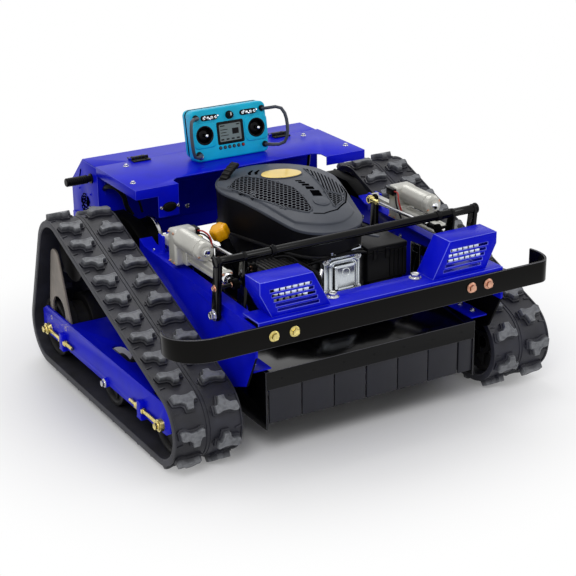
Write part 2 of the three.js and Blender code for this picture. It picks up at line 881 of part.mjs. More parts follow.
function sidePlate(side) {
  const inner = side * sideInnerX;
  const outer = side * (sideInnerX + sideThickness);
  const outline = [
    [sideFrontY, sideFrontLowZ], [sideNotchY, sideNotchZ], [sideSkirtFrontY, sideSkirtZ],
    [sideSkirtRearY, sideSkirtZ], [sideRearY, sideRearLowZ], [sideRearY, sideLipZ],
    [sideHighRearY, sideLipZ], [sideHighRearY, sideHighZ], [sideStepY, sideHighZ],
    [sideTopMidY, sideTopMidZ], [sideFrontY, sideFrontTopZ],
  ];
  const shaftHole = crossRod(
    side, sideInnerX - overrun, sideInnerX + sideThickness + overrun, sprocketY, sprocketZ,
    driveShaftRadius + 2 * axleRunningGap, rodSides,
  );
  const plate = cut(prism("yz", outline, inner, outer), shaftHole);
  const t = sideFlangeThickness;
  const flangeTop = [
    [sideFlangeFrontY, sideTopAt(sideFlangeFrontY)], [sideTopMidY, sideTopMidZ],
    [sideStepY, sideHighZ], [sideFlangeRearY, sideHighZ],
  ];
  const flangeUnder = flangeTop.map(([y, z]) => [y, z - t]).reverse();
  const flangeInnerX = side * (sideInnerX - sideFlangeWidth);
  const flange = prism("yz", [...flangeTop, ...flangeUnder], side * (sideInnerX + t / 2), flangeInnerX);
  const gap = actuatorLugHalfWidth + clearance;
  const baseTop = sideTopAt(actuatorPivotY);
  const earYs = [actuatorPivotY - actuatorEarHalfLength, actuatorPivotY + actuatorEarHalfLength];
  const earTop = actuatorPinZ + actuatorLugHalfHeight;
  const ears = [-1, 1].map((ear) => block(
    [side * (actuatorX + ear * gap), side * (actuatorX + ear * (gap + actuatorEarThickness))],
    earYs, [baseTop - t, earTop],
  ));
  const reach = gap + actuatorEarThickness;
  const base = block([side * (actuatorX - reach), side * sideInnerX], earYs, [baseTop - t, baseTop]);
  const pin = crossRod(
    side, actuatorX - reach, actuatorX + reach, actuatorPivotY, actuatorPinZ,
    actuatorPivotRadius, rodSides,
  );
  const frontOuter = pivotStud(
    side, sideInnerX + sideThickness, liftOuterArmX, liftOuterArmX + liftArmThickness,
    liftPivotY, liftPivotZ,
  );
  const frontInner = pivotStud(
    side, sideInnerX, liftInnerArmX + liftArmThickness, liftInnerArmX, liftPivotY, liftPivotZ,
  );
  const rear = pivotStud(side, sideInnerX, rockerX + rockerThickness, rockerX, rearPivotY, rearPivotZ);
  return join(plate, flange, ears, base, pin, frontOuter, frontInner, rear);
}

const crossFrontY = bumperFrontY + bumperThickness + clearance;

function frontCrossmember() {
  const half = sideInnerX - clearance;
  const flange = block(
    [-half, half], [crossFrontY, crossFrontY + crossThickness], [crossBottomZ, crossTopZ],
  );
  const shelf = block([-half, half], [crossFrontY, crossRearY], [crossTopZ - crossThickness, crossTopZ]);
  const bolts = [-1, 1].map((side) => rod(
    point(side * shelfBoltX, shelfBoltY, crossTopZ - crossThickness),
    point(side * shelfBoltX, shelfBoltY, crossTopZ + boltHeadHeight), boltHeadRadius, hexSides,
  ));
  return join(flange, shelf, bolts);
}

function bumper() {
  const curlY = bumperFrontY + bumperCurlRadius;
  const face = -Math.PI / 2;
  const curled = (radius) => {
    const path = new THREE.Path();
    path.absarc(-bumperStraightHalf, curlY, radius, face - bumperCurlTurn, face, false);
    path.absarc(bumperStraightHalf, curlY, radius, face, face + bumperCurlTurn, false);
    return pairs(path.getPoints(arcSteps));
  };
  const outer = curled(bumperCurlRadius);
  const inner = curled(bumperCurlRadius - bumperThickness);
  const outline = [...outer, ...inner.reverse()];
  const bar = prism("xy", outline, bumperBottomZ, bumperBottomZ + bumperHeight);
  const boltZ = bumperBottomZ + bumperHeight / 2;
  const bolts = sides.flatMap(({ side }) => bumperBoltXs.map((x) => rod(
    point(side * x, bumperFrontY + bumperThickness / 2, boltZ),
    point(side * x, bumperBoltFrontY, boltZ), boltHeadRadius, hexSides,
  )));
  return join(bar, bolts);
}

function lampHousing(side) {
  const outline = [
    [side * lampHousingBottomInnerX, crossTopZ + clearance],
    [side * lampHousingBottomOuterX, crossTopZ + clearance],
    [side * lampHousingTopOuterX, lampHousingKinkZ],
    [side * lampHousingTopOuterX, lampHousingTopZ],
    [side * lampHousingTopInnerX, lampHousingTopZ],
  ];
  const shell = prism("xz", outline, lampHousingFrontY, lampHousingRearY);
  const hollow = prism(
    "xz", inset(outline, lampHousingWall), lampHousingFrontY + lampHousingWall,
    lampHousingRearY + overrun,
  );
  const slots = [];
  for (let i = 0; i < lampSlotCount; i += 1) {
    const low = lampSlotBottomZ + i * lampSlotPitch;
    const near = lampSlotInnerX + i * lampSlotSlant;
    slots.push(block(
      [side * near, side * (near + lampSlotLength)],
      [lampHousingFrontY - overrun, lampHousingFrontY + lampHousingWall + clearance],
      [low, low + lampSlotHeight],
    ));
  }
  return cut(shell, hollow, slots);
}

function lamp(word, side) {
  const x = side * (lampHousingTopOuterX - lampInsets[word]);
  const front = lampHousingFrontY + lampHousingWall + clearance;
  return block(
    [x - lampWidth / 2, x + lampWidth / 2], [front, front + lampDepth],
    [lampBottomZ, lampBottomZ + lampHeight],
  );
}

// A flat bar between two round ends
function link(fromY, fromZ, fromRadius, toY, toZ, toRadius, nearX, farX) {
  const outline = bandOutline([
    { a: fromY, b: fromZ, radius: fromRadius },
    { a: toY, b: toZ, radius: toRadius },
  ], 0, linkSteps);
  return prism("yz", outline, nearX, farX);
}

function liftFrame() {
  const tubeHalf = liftOuterArmX + liftArmThickness;
  const tube = crossRod(1, -tubeHalf, tubeHalf, liftTubeY, liftTubeZ, liftTubeRadius, rodSides);
  const pieces = [tube];
  const holes = [];
  sides.forEach(({ side }) => {
    [liftOuterArmX, liftInnerArmX].forEach((x) => {
      pieces.push(link(
        liftTubeY, liftTubeZ, liftArmTopRadius, liftPivotY, liftPivotZ, liftArmFootRadius,
        side * x, side * (x + liftArmThickness),
      ));
    });
    const hornY = liftPivotY + hornLength;
    pieces.push(link(
      liftPivotY, liftPivotZ, liftArmFootRadius, hornY, liftPivotZ, hornEndRadius,
      side * liftInnerArmX, side * (liftInnerArmX + liftArmThickness),
    ));
    const bracketReach = deckBracketX - clearance;
    const middle = liftInnerArmX + liftArmThickness / 2;
    pieces.push(crossRod(side, middle, bracketReach, hornY, liftPivotZ, hornPinRadius, rodSides));
    pieces.push(crossRod(
      side, middle, liftOuterArmX + liftArmThickness / 2, actuatorPinY, actuatorPinZ,
      actuatorPinRadius, rodSides,
    ));
    pieces.push(crossRod(
      side, middle, stayRodX - stayEyeWidth / 2, stayPinY, stayPinZ, stayPinRadius, rodSides,
    ));
    holes.push(crossRod(
      side, liftInnerArmX - overrun, liftOuterArmX + liftArmThickness + overrun, liftPivotY,
      liftPivotZ, liftPivotRadius + liftPivotGap, rodSides,
    ));
  });
  return cut(join(pieces), holes);
}

const rearPinY = stayPinY + stayRodSpan;
const rearPinZ = stayPinZ - stayRodDrop;

function rearRocker(side) {
  const near = side * rockerX;
  const far = side * (rockerX + rockerThickness);
  const middle = rockerX + rockerThickness / 2;
  const hornY = rearPivotY + hornLength;
  const arm = link(
    rearPinY, rearPinZ, liftArmTopRadius, rearPivotY, rearPivotZ, liftArmFootRadius, near, far,
  );
  const horn = link(
    rearPivotY, rearPivotZ, liftArmFootRadius, hornY, rearPivotZ, hornEndRadius, near, far,
  );
  const bracketReach = deckBracketX + deckBracketThickness + clearance;
  const hornPin = crossRod(side, middle, bracketReach, hornY, rearPivotZ, hornPinRadius, rodSides);
  const stayPin = crossRod(
    side, middle, stayRodX - stayEyeWidth / 2, rearPinY, rearPinZ, stayPinRadius, rodSides,
  );
  const hole = crossRod(
    side, rockerX - overrun, rockerX + rockerThickness + overrun, rearPivotY, rearPivotZ,
    liftPivotRadius + liftPivotGap, rodSides,
  );
  return cut(join(arm, horn, hornPin, stayPin), hole);
}

function stayRod(side) {
  const ends = [[stayPinY, stayPinZ], [rearPinY, rearPinZ]];
  const near = stayRodX - stayEyeWidth / 2;
  const far = stayRodX + stayEyeWidth / 2;
  const eyes = ends.map(([y, z]) => crossRod(side, near, far, y, z, stayEyeRadius, rodSides));
  const holes = ends.map(([y, z]) => crossRod(
    side, near - overrun, far + overrun, y, z, stayPinRadius + clearance, rodSides,
  ));
  const x = side * stayRodX;
  const bar = rod(point(x, stayPinY, stayPinZ), point(x, rearPinY, rearPinZ), stayRodRadius, rodSides);
  return cut(join(eyes, bar), holes);
}

function actuatorHousing(side) {
  const x = side * actuatorX;
  const half = actuatorGearboxHalfWidth;
  const gearbox = block(
    [x - half, x + half], [actuatorGearboxFrontY, actuatorGearboxRearY],
    [actuatorGearboxBottomZ, actuatorGearboxTopZ],
  );
  const motor = rod(
    point(x, actuatorGearboxFrontY + overrun, actuatorMotorZ),
    point(x, actuatorMotorFrontY, actuatorMotorZ), actuatorMotorRadius, wheelSides,
  );
  const motorCap = rod(
    point(x, actuatorMotorFrontY + overrun, actuatorMotorZ),
    point(x, actuatorMotorFrontY - actuatorMotorCapLength, actuatorMotorZ),
    actuatorMotorCapRadius, wheelSides,
  );
  const tube = rod(
    point(x, actuatorGearboxFrontY + overrun, actuatorPinZ),
    point(x, actuatorTubeFrontY, actuatorPinZ), actuatorTubeRadius, wheelSides,
  );
  const bore = rod(
    point(x, actuatorTubeFrontY + actuatorBoreDepth, actuatorPinZ),
    point(x, actuatorTubeFrontY - overrun, actuatorPinZ), actuatorRodRadius + actuatorRodGap, rodSides,
  );
  const lug = block(
    [x - actuatorLugHalfWidth, x + actuatorLugHalfWidth],
    [actuatorGearboxRearY - overrun, actuatorPivotY + actuatorLugHalfHeight],
    [actuatorPinZ - actuatorLugHalfHeight, actuatorPinZ + actuatorLugHalfHeight],
  );
  const pivotHole = crossRod(
    side, actuatorX - actuatorGearboxHalfWidth, actuatorX + actuatorGearboxHalfWidth,
    actuatorPivotY, actuatorPinZ, actuatorPivotRadius + axleRunningGap, rodSides,
  );
  return cut(join(gearbox, motor, motorCap, tube, lug), bore, pivotHole);
}

function actuatorRod(side) {
  const x = side * actuatorX;
  const bar = rod(
    point(x, actuatorPinY, actuatorPinZ), point(x, actuatorRodEndY, actuatorPinZ),
    actuatorRodRadius, rodSides,
  );
  const near = actuatorX - actuatorLugHalfWidth;
  const far = actuatorX + actuatorLugHalfWidth;
  const eye = crossRod(side, near, far, actuatorPinY, actuatorPinZ, actuatorEyeRadius, rodSides);
  const hole = crossRod(
    side, near - overrun, far + overrun, actuatorPinY, actuatorPinZ,
    actuatorPinRadius + actuatorEyeGap, rodSides,
  );
  return cut(join(bar, eye), hole);
}

// A bracket on the deck whose slot hangs on a horn's pin
function deckBracket(side, pinY, pinZ) {
  const near = side * deckBracketX;
  const far = side * (deckBracketX + deckBracketThickness);
  const plate = block(
    [near, far], [pinY - deckBracketHalfLength, pinY + deckBracketHalfLength - deckSlotTravel],
    [deckTopZ - deckSheet, pinZ + deckBracketCover],
  );
  const slot = block(
    [side * (deckBracketX - overrun), side * (deckBracketX + deckBracketThickness + overrun)],
    [pinY - hornPinRadius - deckSlotTravel, pinY + hornPinRadius + 2 * clearance],
    [pinZ - hornPinRadius - deckSlotDrop, pinZ + hornPinRadius + clearance],
  );
  return cut(plate, slot);
}

function deckShell() {
  const outline = [
    [deckFrontY, deckBottomZ], [deckRearY, deckBottomZ], [deckRearY, deckTopZ],
    [deckHoodRearY, deckTopZ], [deckFrontY, deckLipTopZ],
  ];
  const inner = deckHalfWidth - deckSheet;
  const body = prism("yz", outline, -deckHalfWidth, deckHalfWidth);
  const hollow = prism("yz", inset(outline, deckSheet), -inner, inner);
  const openBottom = block(
    [-inner, inner], [deckFrontY + deckSheet, deckRearY - deckSheet],
    [deckBottomZ - overrun, deckBottomZ + 2 * deckSheet],
  );
  const openFront = block(
    [-inner, inner], [deckFrontY - overrun, deckFrontY + 2 * deckSheet],
    [deckBottomZ - overrun, deckLipBottomZ],
  );
  const openRear = block(
    [-inner, inner], [deckRearY - 2 * deckSheet, deckRearY + overrun],
    [deckBottomZ - overrun, deckRearWallZ],
  );
  const shaftHole = rod(
    point(0, engineAxisY, deckTopZ - deckSheet - overrun),
    point(0, engineAxisY, deckTopZ + overrun), deckShaftHoleRadius, wheelSides,
  );
  const shell = cut(body, hollow, openBottom, openFront, openRear, shaftHole);
  const brackets = sides.flatMap(({ side }) => [
    deckBracket(side, liftPivotY + hornLength, liftPivotZ),
    deckBracket(side, rearPivotY + hornLength, rearPivotZ),
  ]);
  return join(shell, brackets);
}

// One rubber sheet behind the front lip, slit into strips
function frontSkirt() {
  const front = deckFrontY + deckSheet + clearance;
  const sheet = block(
    [skirtLeftX, skirtRightX], [front, front + skirtThickness], [skirtBottomZ, skirtTopZ],
  );
  const slits = [];
  for (let x = skirtLeftX + skirtStripWidth; x < skirtRightX - skirtSlit; x += skirtStripWidth) {
    slits.push(block(
      [x - skirtSlit / 2, x + skirtSlit / 2], [front - overrun, front + skirtThickness + overrun],
      [skirtBottomZ - overrun, skirtSlitTopZ],
    ));
  }
  return cut(sheet, slits);
}

// Plan of the engine cover: a wide round rear and a narrower nose
const coverWheels = [
  { a: 0, b: coverRearY, radius: coverRearRadius },
  { a: 0, b: coverNoseY, radius: coverNoseRadius },
];

function coverCrown(y) {
  const noseEnd = coverNoseY - coverNoseRadius;
  const share = THREE.MathUtils.clamp((y - noseEnd) / (coverRearY - noseEnd), 0, 1);
  return THREE.MathUtils.lerp(coverNoseTopZ, coverTopZ, Math.sin(share * Math.PI / 2));
}

// The domed form of the cover, drawn in by a wall
function coverForm(wall) {
  const plan = band(coverWheels, -wall).path;
  const count = fineSides + coverSteps;
  const bottom = coverBottomZ - (wall > 0 ? overrun : 0);
  const positions = [];
  coverShoulderShares.forEach(({ inset: drawnIn, rise }) => {
    for (let i = 0; i < count; i += 1) {
      const spot = plan.getPoint(i / count);
      const centre = THREE.MathUtils.clamp(spot.y, coverNoseY, coverRearY);
      const x = THREE.MathUtils.lerp(spot.x, 0, drawnIn);
      const y = THREE.MathUtils.lerp(spot.y, centre, drawnIn);
      const height = coverCrown(y) - wall - bottom;
      positions.push(x, y, bottom + rise * height);
    }
  });
  const rings = coverShoulderShares.length;
  const middleY = (coverNoseY + coverRearY) / 2;
  positions.push(0, middleY, bottom);
  positions.push(0, middleY, coverCrown(middleY) - wall);
  const indices = [];
  const low = rings * count;
  const top = low + 1;
  for (let i = 0; i < count; i += 1) {
    const next = (i + 1) % count;
    indices.push(low, next, i);
    for (let ring = 0; ring + 1 < rings; ring += 1) {
      const a = ring * count + i;
      const b = ring * count + next;
      indices.push(a, b, b + count, a, b + count, a + count);
    }
    const last = (rings - 1) * count;
    indices.push(last + i, last + next, top);
  }
  const geometry = new THREE.BufferGeometry();
  geometry.setAttribute("position", new THREE.Float32BufferAttribute(positions, 3));
  geometry.setIndex(indices);
  return solidFrom(geometry);
}

function engineCover() {
  return cut(coverForm(0), coverForm(coverWall));
}

function engineBlock() {
  const bottom = deckTopZ + clearance;
  const shroudTop = coverBottomZ - clearance;
  const shroudBottom = shroudTop - shroudBaseThickness;
  const crankcase = block(
    [-crankcaseHalfWidth, crankcaseHalfWidth], [crankcaseFrontY, crankcaseRearY],
    [bottom, crankcaseTopZ],
  );
  const housing = rod(
    point(0, engineAxisY, crankcaseTopZ - overrun), point(0, engineAxisY, shroudBottom + overrun),
    flywheelHousingRadius, fineSides,
  );
  const cylinder = block(
    [cylinderLeftX, cylinderRightX], [cylinderFrontY, crankcaseFrontY + 2 * overrun],
    [cylinderBottomZ, cylinderTopZ],
  );
  const fins = [];
  const finStep = (cylinderTopZ - cylinderBottomZ - finThickness) / (finCount - 1);
  for (let i = 0; i < finCount; i += 1) {
    const low = cylinderBottomZ + i * finStep;
    fins.push(block(
      [cylinderLeftX - finReach, cylinderRightX + finReach], [finFrontY, finRearY],
      [low, low + finThickness],
    ));
  }
  const shroud = prism("xy", bandOutline(coverWheels, 0), shroudBottom, shroudTop);
  return join(crankcase, housing, cylinder, fins, shroud);
}

function valveCover() {
  const back = cylinderFrontY - clearance;
  const rim = softened(
    rectangle(valveCoverLeftX, valveCoverRightX, valveCoverBottomZ, valveCoverTopZ), valveCoverCorner,
  );
  const dome = softened(
    inset(
      rectangle(valveCoverLeftX, valveCoverRightX, valveCoverBottomZ, valveCoverTopZ), valveCoverRim,
    ),
    valveCoverCorner,
  );
  return join(
    prism("xz", rim, back - valveCoverFlange, back),
    prism("xz", dome, back - valveCoverDepth, back - valveCoverFlange / 2),
  );
}

function airCleaner() {
  const left = cylinderRightX + finReach + clearance;
  const outline = softened(
    rectangle(left, airBoxRightX, airBoxFrontY, airBoxRearY), airBoxCorner, 2,
  );
  return prism("xy", outline, airBoxBottomZ, airBoxTopZ);
}

function muffler() {
  const right = cylinderLeftX - finReach - clearance;
  const outline = softened(
    rectangle(mufflerLeftX, right, mufflerBottomZ, mufflerTopZ), mufflerCorner, 2,
  );
  return prism("xz", outline, mufflerFrontY, mufflerRearY);
}

const fillerFoot = point(fillerFootX, fillerY, fillerFootZ);
const fillerTop = point(fillerTopX, fillerY, fillerTopZ);
const fillerLine = fillerTop.clone().sub(fillerFoot).normalize();

function fillerTube() {
  const start = fillerFoot.clone().addScaledVector(fillerLine, -oilCapHeight);
  const tube = rod(start, fillerTop, fillerRadius, rodSides);
  const wallX = -crankcaseHalfWidth - clearance;
  const keepOut = block(
    [wallX, crankcaseHalfWidth], [crankcaseFrontY, crankcaseRearY], [0, fillerTopZ],
  );
  const housing = rod(
    point(0, engineAxisY, 0), point(0, engineAxisY, fillerTopZ),
    flywheelHousingRadius + clearance, fineSides,
  );
  return cut(tube, keepOut, housing);
}

function oilCap() {
  const start = fillerTop.clone().addScaledVector(fillerLine, clearance);
  const end = start.clone().addScaledVector(fillerLine, oilCapHeight);
  const body = rod(start, end, oilCapRadius, fineSides);
  const across = new THREE.Vector3().crossVectors(fillerLine, axisY).normalize();
  const flutes = [];
  for (let i = 0; i < oilCapFlutes; i += 1) {
    const turn = (i * 2 * Math.PI) / oilCapFlutes;
    const away = across.clone().applyAxisAngle(fillerLine, turn);
    const reach = away.multiplyScalar(oilCapRadius + oilCapFluteRadius / 2);
    const low = start.clone().addScaledVector(fillerLine, oilCapHeight / 3).add(reach);
    const high = end.clone().addScaledVector(fillerLine, overrun).add(reach);
    flutes.push(rod(low, high, oilCapFluteRadius, hexSides));
  }
  return cut(body, flutes);
}

// The starter's pull grip, cut to sit on the cover
function starterGrip() {
  const geometry = new THREE.BoxGeometry(gripLength, gripWidth, gripSink);
  geometry.rotateZ(gripTurn);
  geometry.translate(gripCentreX, gripCentreY, gripTopZ - gripSink / 2);
  const seat = carried(coverForm(0), new THREE.Matrix4().makeTranslation(0, 0, clearance));
  return cut(solidFrom(geometry), seat);
}

function crankshaft() {
  const bladeTop = bladeBottomZ + bladeThickness;
  const up = (low, high, radius, sideCount) => rod(
    point(0, engineAxisY, low), point(0, engineAxisY, high), radius, sideCount,
  );
  return join(
    up(bladeBottomZ - clearance, deckTopZ, crankRadius, rodSides),
    up(bladeTop + clearance, bladeTop + clearance + crankCollarHeight, crankCollarRadius, wheelSides),
    up(bladeBottomZ - clearance - crankBoltHeight, bladeBottomZ - clearance, crankBoltRadius, hexSides),
  );
}

function blade() {
  const top = bladeBottomZ + bladeThickness;
  const bar = block(
    [-bladeRadius, bladeRadius], [engineAxisY - bladeHalfWidth, engineAxisY + bladeHalfWidth],
    [bladeBottomZ, top],
  );
  const wings = [-1, 1].map((end) => prism(
    "yz",
    [
      [engineAxisY + end * bladeHalfWidth, bladeBottomZ],
      [engineAxisY + end * bladeHalfWidth, top + bladeLiftHeight],
      [engineAxisY + end * bladeHalfWidth / 2, top],
      [engineAxisY + end * bladeHalfWidth / 2, bladeBottomZ],
    ],
    end * (bladeRadius - bladeLiftLength), end * bladeRadius,
  ));
  const hole = rod(
    point(0, engineAxisY, bladeBottomZ - overrun), point(0, engineAxisY, top + overrun),
    crankRadius + clearance, rodSides,
  );
  return cut(join(bar, wings), hole);
}

function equipmentBox() {
  const half = sideInnerX - clearance;
  const outline = [
    [boxFrontY, boxBottomZ], [boxRearY, boxBottomZ], [boxRearY, boxChamferZ],
    [boxChamferY, boxTopZ], [boxFrontY, boxTopZ],
  ];
  const body = prism("yz", outline, -half, half);
  const inner = half - boxSheet;
  const hollow = block(
    [-inner, inner], [boxFrontY + boxSheet, boxRearY - boxSheet],
    [boxBottomZ + boxSheet, boxTopZ + overrun],
  );
  const vents = [];
  for (let i = 0; i < ventSlotCount; i += 1) {
    const z = ventZ + (i - (ventSlotCount - 1) / 2) * 2 * ventSlotHeight;
    const reach = Math.sqrt(ventRadius ** 2 - (Math.abs(z - ventZ) + ventSlotHeight / 2) ** 2);
    vents.push(block(
      [-half - overrun, -inner + overrun], [ventY - reach, ventY + reach],
      [z - ventSlotHeight / 2, z + ventSlotHeight / 2],
    ));
  }
  return cut(body, hollow, vents);
}

const hingeY = boxFrontY;
const hingeZ = shelfTopZ + clearance + hingeRadius;

function boxLid() {
  const half = sideInnerX - clearance;
  const under = boxTopZ + clearance;
  const top = under + lidSheet;
  const front = boxFrontY + clearance;
  const slopeY = boxRearY - boxChamferY;
  const slopeZ = boxTopZ - boxChamferZ;
  const slope = Math.hypot(slopeY, slopeZ);
  const rise = (lidSheet + clearance) * slope / slopeY;
  const sheet = prism("yz", [
    [front, under], [boxChamferY, under], [boxRearY, boxChamferZ + clearance * slope / slopeY],
    [boxRearY, boxChamferZ + rise], [boxChamferY + clearance, top], [front, top],
  ], -half, half);
  const hinges = [-1, 1].flatMap((side) => {
    const near = side * (hingeX - hingeHalfLength);
    const far = side * (hingeX + hingeHalfLength);
    return [
      rod(point(near, hingeY, hingeZ), point(far, hingeY, hingeZ), hingeRadius, rodSides),
      block([near, far], [hingeY + 2 * clearance, hingeY + hingeLeafLength], [top - clearance, hingeZ]),
    ];
  });
  return join(sheet, hinges);
}

function battery() {
  const front = boxFrontY + boxSheet + batteryFrontGap;
  const low = boxBottomZ + boxSheet + clearance;
  return block(
    [batteryLeftX, batteryLeftX + batteryWidth], [front, front + batteryDepth],
    [low, low + batteryHeight],
  );
}

function sideGrip() {
  const start = sideInnerX;
  return join(
    crossRod(-1, start, start + sideGripLength, sideGripY, sideGripZ, sideGripRadius, wheelSides),
    crossRod(
      -1, start + sideGripLength - sideGripEndRadius, start + sideGripLength, sideGripY, sideGripZ,
      sideGripEndRadius, wheelSides,
    ),
  );
}

function topShelf() {
  const rear = boxFrontY - clearance;
  const under = shelfTopZ - shelfSheet;
  const curve = shelfWingCurve;
  const plan = [
    [-shelfHalfWidth, shelfWingFrontY], [-shelfWingX, shelfWingFrontY],
    [-shelfWingX, shelfCentreFrontY - curve], [-shelfWingX + curve, shelfCentreFrontY],
    [shelfWingX - curve, shelfCentreFrontY], [shelfWingX, shelfCentreFrontY - curve],
    [shelfWingX, shelfWingFrontY], [shelfHalfWidth, shelfWingFrontY],
    [shelfHalfWidth, rear], [-shelfHalfWidth, rear],
  ];
  const sheet = prism("xy", plan, under, shelfTopZ);
  const flange = (xs, ys, low) => block(xs, ys, [low, under + clearance]);
  const centre = flange(
    [curve - shelfWingX, shelfWingX - curve], [shelfCentreFrontY, shelfCentreFrontY + shelfSheet],
    shelfFlangeBottomZ,
  );
  const wings = sides.flatMap(({ side }) => [
    flange(
      [side * shelfWingX, side * shelfHalfWidth], [shelfWingFrontY, shelfWingFrontY + shelfSheet],
      shelfFlangeBottomZ,
    ),
    flange(
      [side * (shelfHalfWidth - shelfSheet), side * shelfHalfWidth], [shelfWingFrontY, rear],
      shelfFlangeBottomZ,
    ),
    flange(
      [side * (sideInnerX - clearance), side * (sideInnerX - clearance - shelfLegThickness)],
      [shelfLegFrontY, rear], shelfLegBottomZ,
    ),
  ]);
  const panel = flange(
    [-shelfPanelOuterX, -shelfWingX], [shelfWingFrontY, shelfWingFrontY + shelfSheet],
    shelfPanelBottomZ,
  );
  const back = flange(
    [-shelfRearFlangeX, shelfRearFlangeX], [rear - shelfSheet, rear], shelfRearFlangeZ,
  );
  return join(sheet, centre, wings, panel, back);
}

// The controller leans back; its underside is cut flat so that it stands on the shelf
const remote = new THREE.Group();
remote.position.set(remoteCentreX, remoteFrontY, shelfTopZ + clearance);
machine.add(remote);

function leaned(solid) {
  return carried(solid, new THREE.Matrix4().makeRotationX(remoteLean));
}

// A point of the upright controller, carried to its leaning place
function leanedPoint(x, y, z) {
  return point(x, y, z).applyAxisAngle(axisX, remoteLean);
}

function standing(solid) {
  const reach = remoteWidth + remoteHeight;
  return cut(leaned(solid), block([-reach, reach], [-reach, reach], [-reach, 0]));
}

function remoteOutline() {
  const half = remoteWidth / 2;
  return softened(rectangle(-half, half, 0, remoteHeight), remoteCorner);
}

function remoteFront() {
  const body = prism("xz", remoteOutline(), 0, remoteFrontDepth);
  const screenHalf = screenWidth / 2 + clearance;
  const pocket = block(
    [-screenHalf, screenHalf], [-overrun, screenThickness],
    [screenBottomZ - clearance, screenBottomZ + screenHeight + clearance],
  );
  const cups = [-1, 1].map((side) => rod(
    point(side * gimbalX, -overrun, gimbalZ), point(side * gimbalX, gimbalDepth, gimbalZ),
    gimbalRadius, fineSides,
  ));
  return standing(cut(body, pocket, cups));
}

function remoteBack() {
  return standing(prism("xz", remoteOutline(), remoteFrontDepth + clearance, remoteDepth));
}

function remoteScreen() {
  const half = screenWidth / 2;
  return leaned(block(
    [-half, half], [0, screenThickness - clearance],
    [screenBottomZ, screenBottomZ + screenHeight],
  ));
}

// A bent tube handle from the upper corner round to the lower corner of one end
function remoteHandle(side) {
  const foot = side * (remoteWidth / 2 - handleInset);
  const out = side * (remoteWidth / 2 + handleReachX);
  const route = [
    leanedPoint(foot, -clearance, handleHighZ),
    leanedPoint(foot + side * clearance, -handleBend, handleHighZ),
    leanedPoint(out - side * handleBend / 2, handleBend / 2 - handleReachY, handleHighZ),
    leanedPoint(out, -handleReachY, handleHighZ - handleBend),
    leanedPoint(out, -handleReachY, handleLowZ + handleBend),
    leanedPoint(out - side * handleBend / 2, handleBend / 2 - handleReachY, handleLowZ),
    leanedPoint(foot + side * clearance, -handleBend, handleLowZ),
    leanedPoint(foot, -clearance, handleLowZ),
  ];
  const section = new THREE.Shape(
    circle(0, 0, handleRadius, hexSides).map(([a, b]) => new THREE.Vector2(a, b)),
  );
  const geometry = new THREE.ExtrudeGeometry(section, {
    steps: handleSteps,
    bevelEnabled: false,
    extrudePath: new THREE.CatmullRomCurve3(route, false, "centripetal"),
  });
  return solidFrom(geometry);
}

function joystickRing() {
  const ring = rod(
    point(0, -gimbalRingThickness / 2, 0), point(0, gimbalRingThickness / 2, 0),
    gimbalRingRadius, wheelSides,
  );
  const bore = rod(
    point(0, -gimbalRingThickness, 0), point(0, gimbalRingThickness, 0),
    gimbalRingRadius - gimbalRingWall, wheelSides,
  );
  const pins = [-1, 1].map((end) => crossRod(
    end, gimbalRingRadius - gimbalRingWall / 2, gimbalRadius - 2 * clearance, 0, 0,
    gimbalPinRadius, hexSides,
  ));
  return join(cut(ring, bore), pins);
}

function joystick() {
  const reach = gimbalRingRadius - gimbalRingWall - 2 * clearance;
  const hub = crossRod(1, -stickHubRadius, stickHubRadius, 0, 0, stickHubRadius, hexSides);
  const pins = rod(point(0, 0, -reach), point(0, 0, reach), gimbalPinRadius, hexSides);
  const stem = rod(point(0, 0, 0), point(0, -stickLength, 0), stickRadius, hexSides);
  const tip = rod(
    point(0, stickTipLength - stickLength, 0), point(0, -stickLength, 0), stickTipRadius, rodSides,
  );
  return join(hub, pins, stem, tip);
}

function remoteKnob() {
  return rod(point(0, -clearance, 0), point(0, -clearance - knobHeight, 0), knobRadius, wheelSides);
}

// Every named piece, hung in the machine
sides.forEach(({ word, side }) => {
  const x = side * trackCentreX;
  node(`side_plate_${word}`, sidePlate(side), paint.blue);
  node(`track_belt_${word}`, trackBelt(side), paint.rubber);
  node(`track_beam_${word}`, trackBeam(side), paint.blue);
  node(`sprocket_guard_${word}`, guardPlate(side), paint.guard);
  node(`drive_motor_${word}`, driveMotor(side), paint.black);
  node(`sprocket_${word}`, sprocket(), paint.steel, machine, point(x, sprocketY, sprocketZ));
  const idler = guidedWheel(idlerRadius);
  node(`front_idler_${word}`, idler, paint.wheel, machine, point(x, frontIdlerY, idlerZ));
  node(`rear_idler_${word}`, idler, paint.wheel, machine, point(x, rearIdlerY, idlerZ));
  const roller = guidedWheel(midRollerRadius);
  node(`mid_roller_${word}`, roller, paint.wheel, machine, point(x, midRollerY, midRollerZ));
  node(`lamp_housing_${word}`, lampHousing(side), paint.blue);
  node(`lamp_${word}`, lamp(word, side), paint.lens);
  node(`actuator_housing_${word}`, actuatorHousing(side), paint.castGrey);
  node(`actuator_rod_${word}`, actuatorRod(side), paint.steel);
  node(`stay_rod_${word}`, stayRod(side), paint.steel);
  node(`rear_rocker_${word}`, rearRocker(side), paint.black);
});

